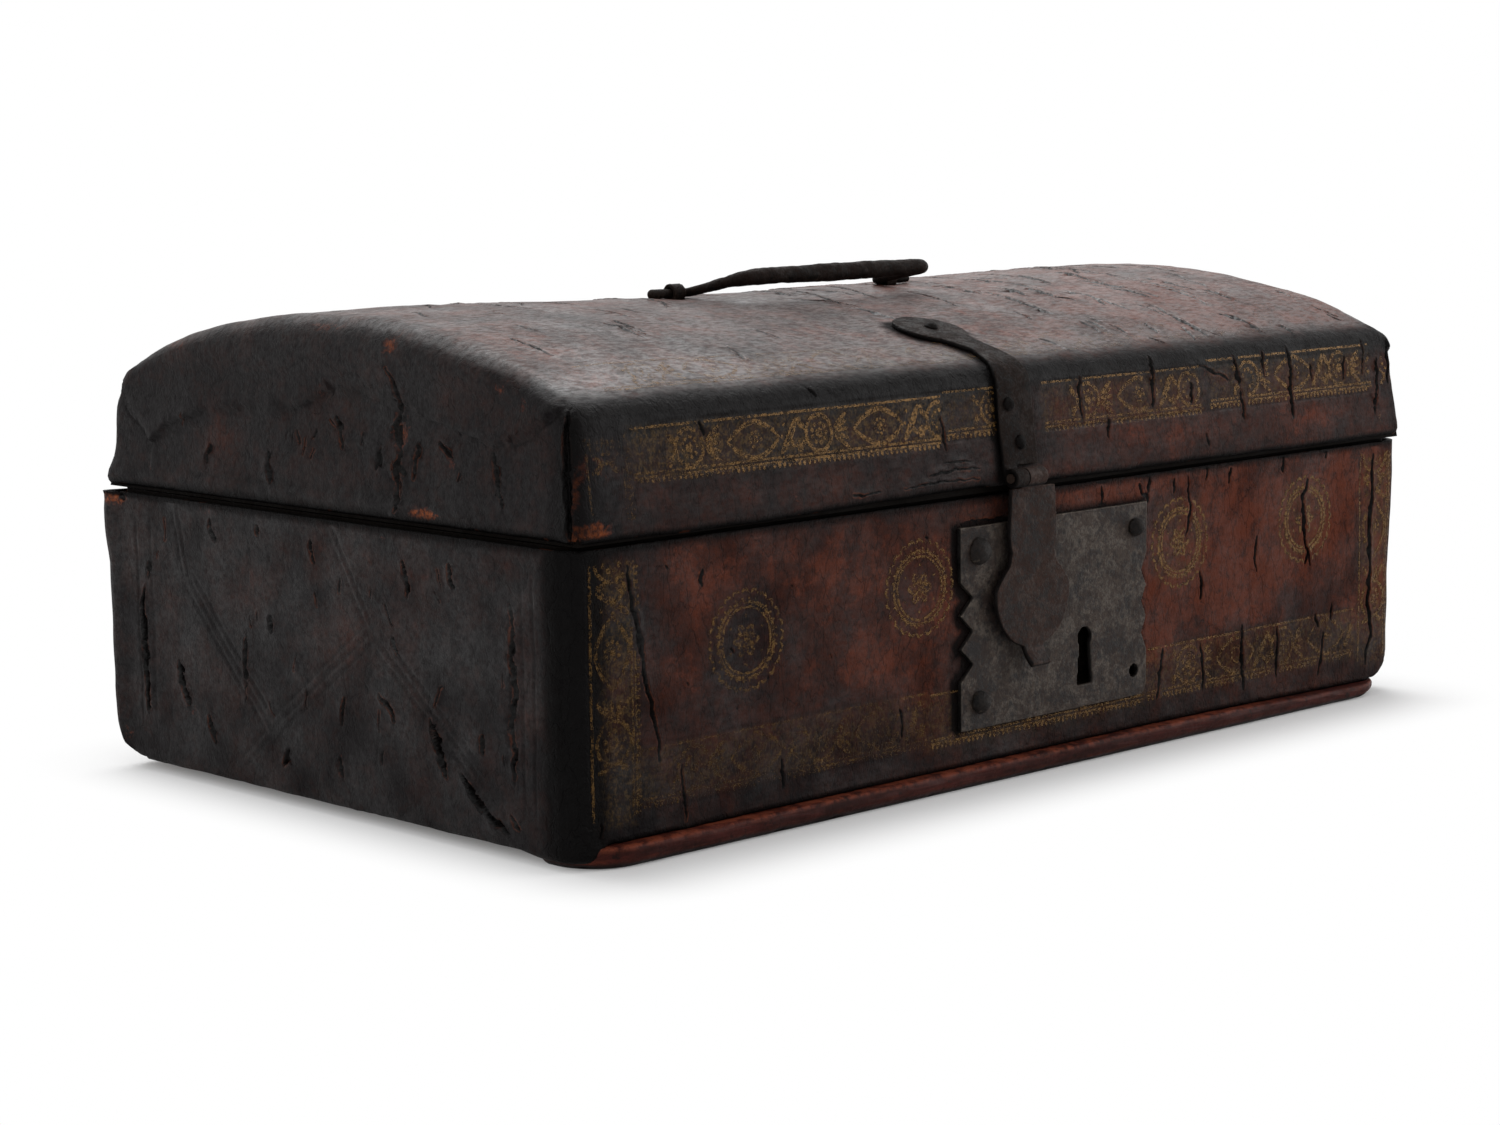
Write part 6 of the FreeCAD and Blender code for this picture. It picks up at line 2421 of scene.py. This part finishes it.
def gild_body(skin: bpy.types.Object, finish: bpy.types.Material, repeater: Repeater) -> None:
    """Lays the borders and medallions of the body.

    Args:
        skin: The leather that carries the gold.
        finish: The material of the gold.
        repeater: The trees that repeat a drawing.
    """
    work = GiltWork("box", skin, finish, repeater)
    up = math.pi / 2
    work.put(work.border(122.0, 13.4), Side.FRONT, (-176.0, 24.8), kept=0.3, slope=-0.02)
    work.put(work.border(106.0, 13.0), Side.FRONT, (-52.0, 24.0), kept=0.5)
    work.put(work.border(118.0, 13.4), Side.FRONT, (56.0, 24.8), kept=0.47, slope=-0.03)
    work.put(work.border(74.0, 14.0), Side.FRONT, (-184.6, 14.0), up, 0.42)
    work.put(work.border(76.0, 14.0), Side.FRONT, (185.2, 13.0), up, 0.55)
    for at, kept in (((-132, 59.5), 0.46), ((-57, 66.5), 0.54), ((73, 67.5), 0.66),
                     ((144, 68.5), 0.68)):
        work.put(work.medallion(), Side.FRONT, at, kept=kept)
    work.put(work.border(380.0, 13.0), Side.BACK, (-190.0, 22.0), kept=0.25)
    work.build("body_gilt")


def gild_lid(skin: bpy.types.Object, finish: bpy.types.Material, repeater: Repeater) -> None:
    """Lays the borders of the lid.

    Args:
        skin: The leather that carries the gold.
        finish: The material of the gold.
        repeater: The trees that repeat a drawing.
    """
    work = GiltWork("lid", skin, finish, repeater)
    work.put(work.border(130.0, 11.6), Side.FRONT, (-176.0, 118.6), kept=0.76, slope=0.2)
    work.put(work.border(24.0, 10.6), Side.FRONT, (-45.0, 120.2), kept=0.45)
    work.put(work.border(82.0, 11.6), Side.FRONT, (2.0, 119.6), kept=0.42, slope=0.1)
    work.put(work.border(94.0, 12.2), Side.FRONT, (88.0, 121.0), kept=0.5, slope=0.05)
    work.put(work.border(24.0, 12.0), Side.FRONT, (192.5, 100.0), math.pi / 2, 0.45)
    work.put(work.border(24.0, 12.0), Side.FRONT, (-186.0, 100.0), math.pi / 2, 0.3)
    work.put(work.border(330.0, 12.0, False), Side.TOP, (-176.0, -98.0), kept=0.3, slope=-0.08)
    work.build("lid_gilt")


def main() -> None:
    """Builds the dressed box and its studio, and logs each piece."""
    logging.basicConfig(level=logging.INFO, format="%(message)s")
    bpy.context.scene.view_settings.view_transform = "Standard"
    finishes = make_finishes(Groups())
    dress_nodes(finishes)
    repeater = Repeater()
    front = Side.FRONT
    body = BodySkin(
        "body_leather", "box", marks=BODY_MARKS, spots=BODY_SPOTS,
        windows=((-25.0, 22.5, 43.0, 73.5), (44.0, 24.5, 49.0, 29.5)),
        fittings=("lock_plate", "left_hinge_lower_leaf", "right_hinge_lower_leaf"),
        washes=(((front, -176, 17, -54, 33), 0.25), ((front, -54, 14, 58, 32), 0.35),
                ((front, 56, 16, 176, 33), 0.35), ((front, -193, 12, -177, 88), 0.4),
                ((front, 178, 12, 193, 88), 0.4), ((front, 60, 55, 86, 82), 0.2),
                ((front, 131, 56, 157, 82), 0.2)),
        calm=((front, -39.5, 18.2, 53.0, 83.6), (Side.BACK, 106.0, 40.0, 130.0, 93.0),
              (Side.BACK, -130.0, 40.0, -106.0, 93.0)))
    lid = LidSkin(
        "lid_leather", "lid", marks=LID_MARKS, spots=LID_SPOTS,
        fittings=("hasp_strap", "handle_eye_left", "handle_eye_right",
                  "left_hinge_upper_leaf", "right_hinge_upper_leaf"),
        washes=(((front, -176, 111, -46, 126), 0.5), ((front, -46, 113, -22, 126), 0.3),
                ((front, 2, 112, 84, 126), 0.3), ((front, 88, 113, 182, 128), 0.35)),
        calm=((front, -22.6, 95.0, -4.6, 127.0), (Side.TOP, -26.0, -119.0, -0.5, -68.0),
              (Side.BACK, 106.0, 92.0, 130.0, 125.0), (Side.BACK, -130.0, 92.0, -106.0, 125.0),
              (Side.TOP, -54.5, -9.5, -48.5, 9.5), (Side.TOP, 48.5, -9.5, 54.5, 9.5)))
    body_skin = body.build(finishes["aged_leather"])
    lid_skin = lid.build(finishes["aged_leather"])
    gild_body(body_skin, finishes["gilt"], repeater)
    gild_lid(lid_skin, finishes["gilt"], repeater)
    Ironwork().build(finishes)
    BaseBoard().build(finishes["base_wood"])
    Studio().build()


if __name__ == "__main__":
    main()
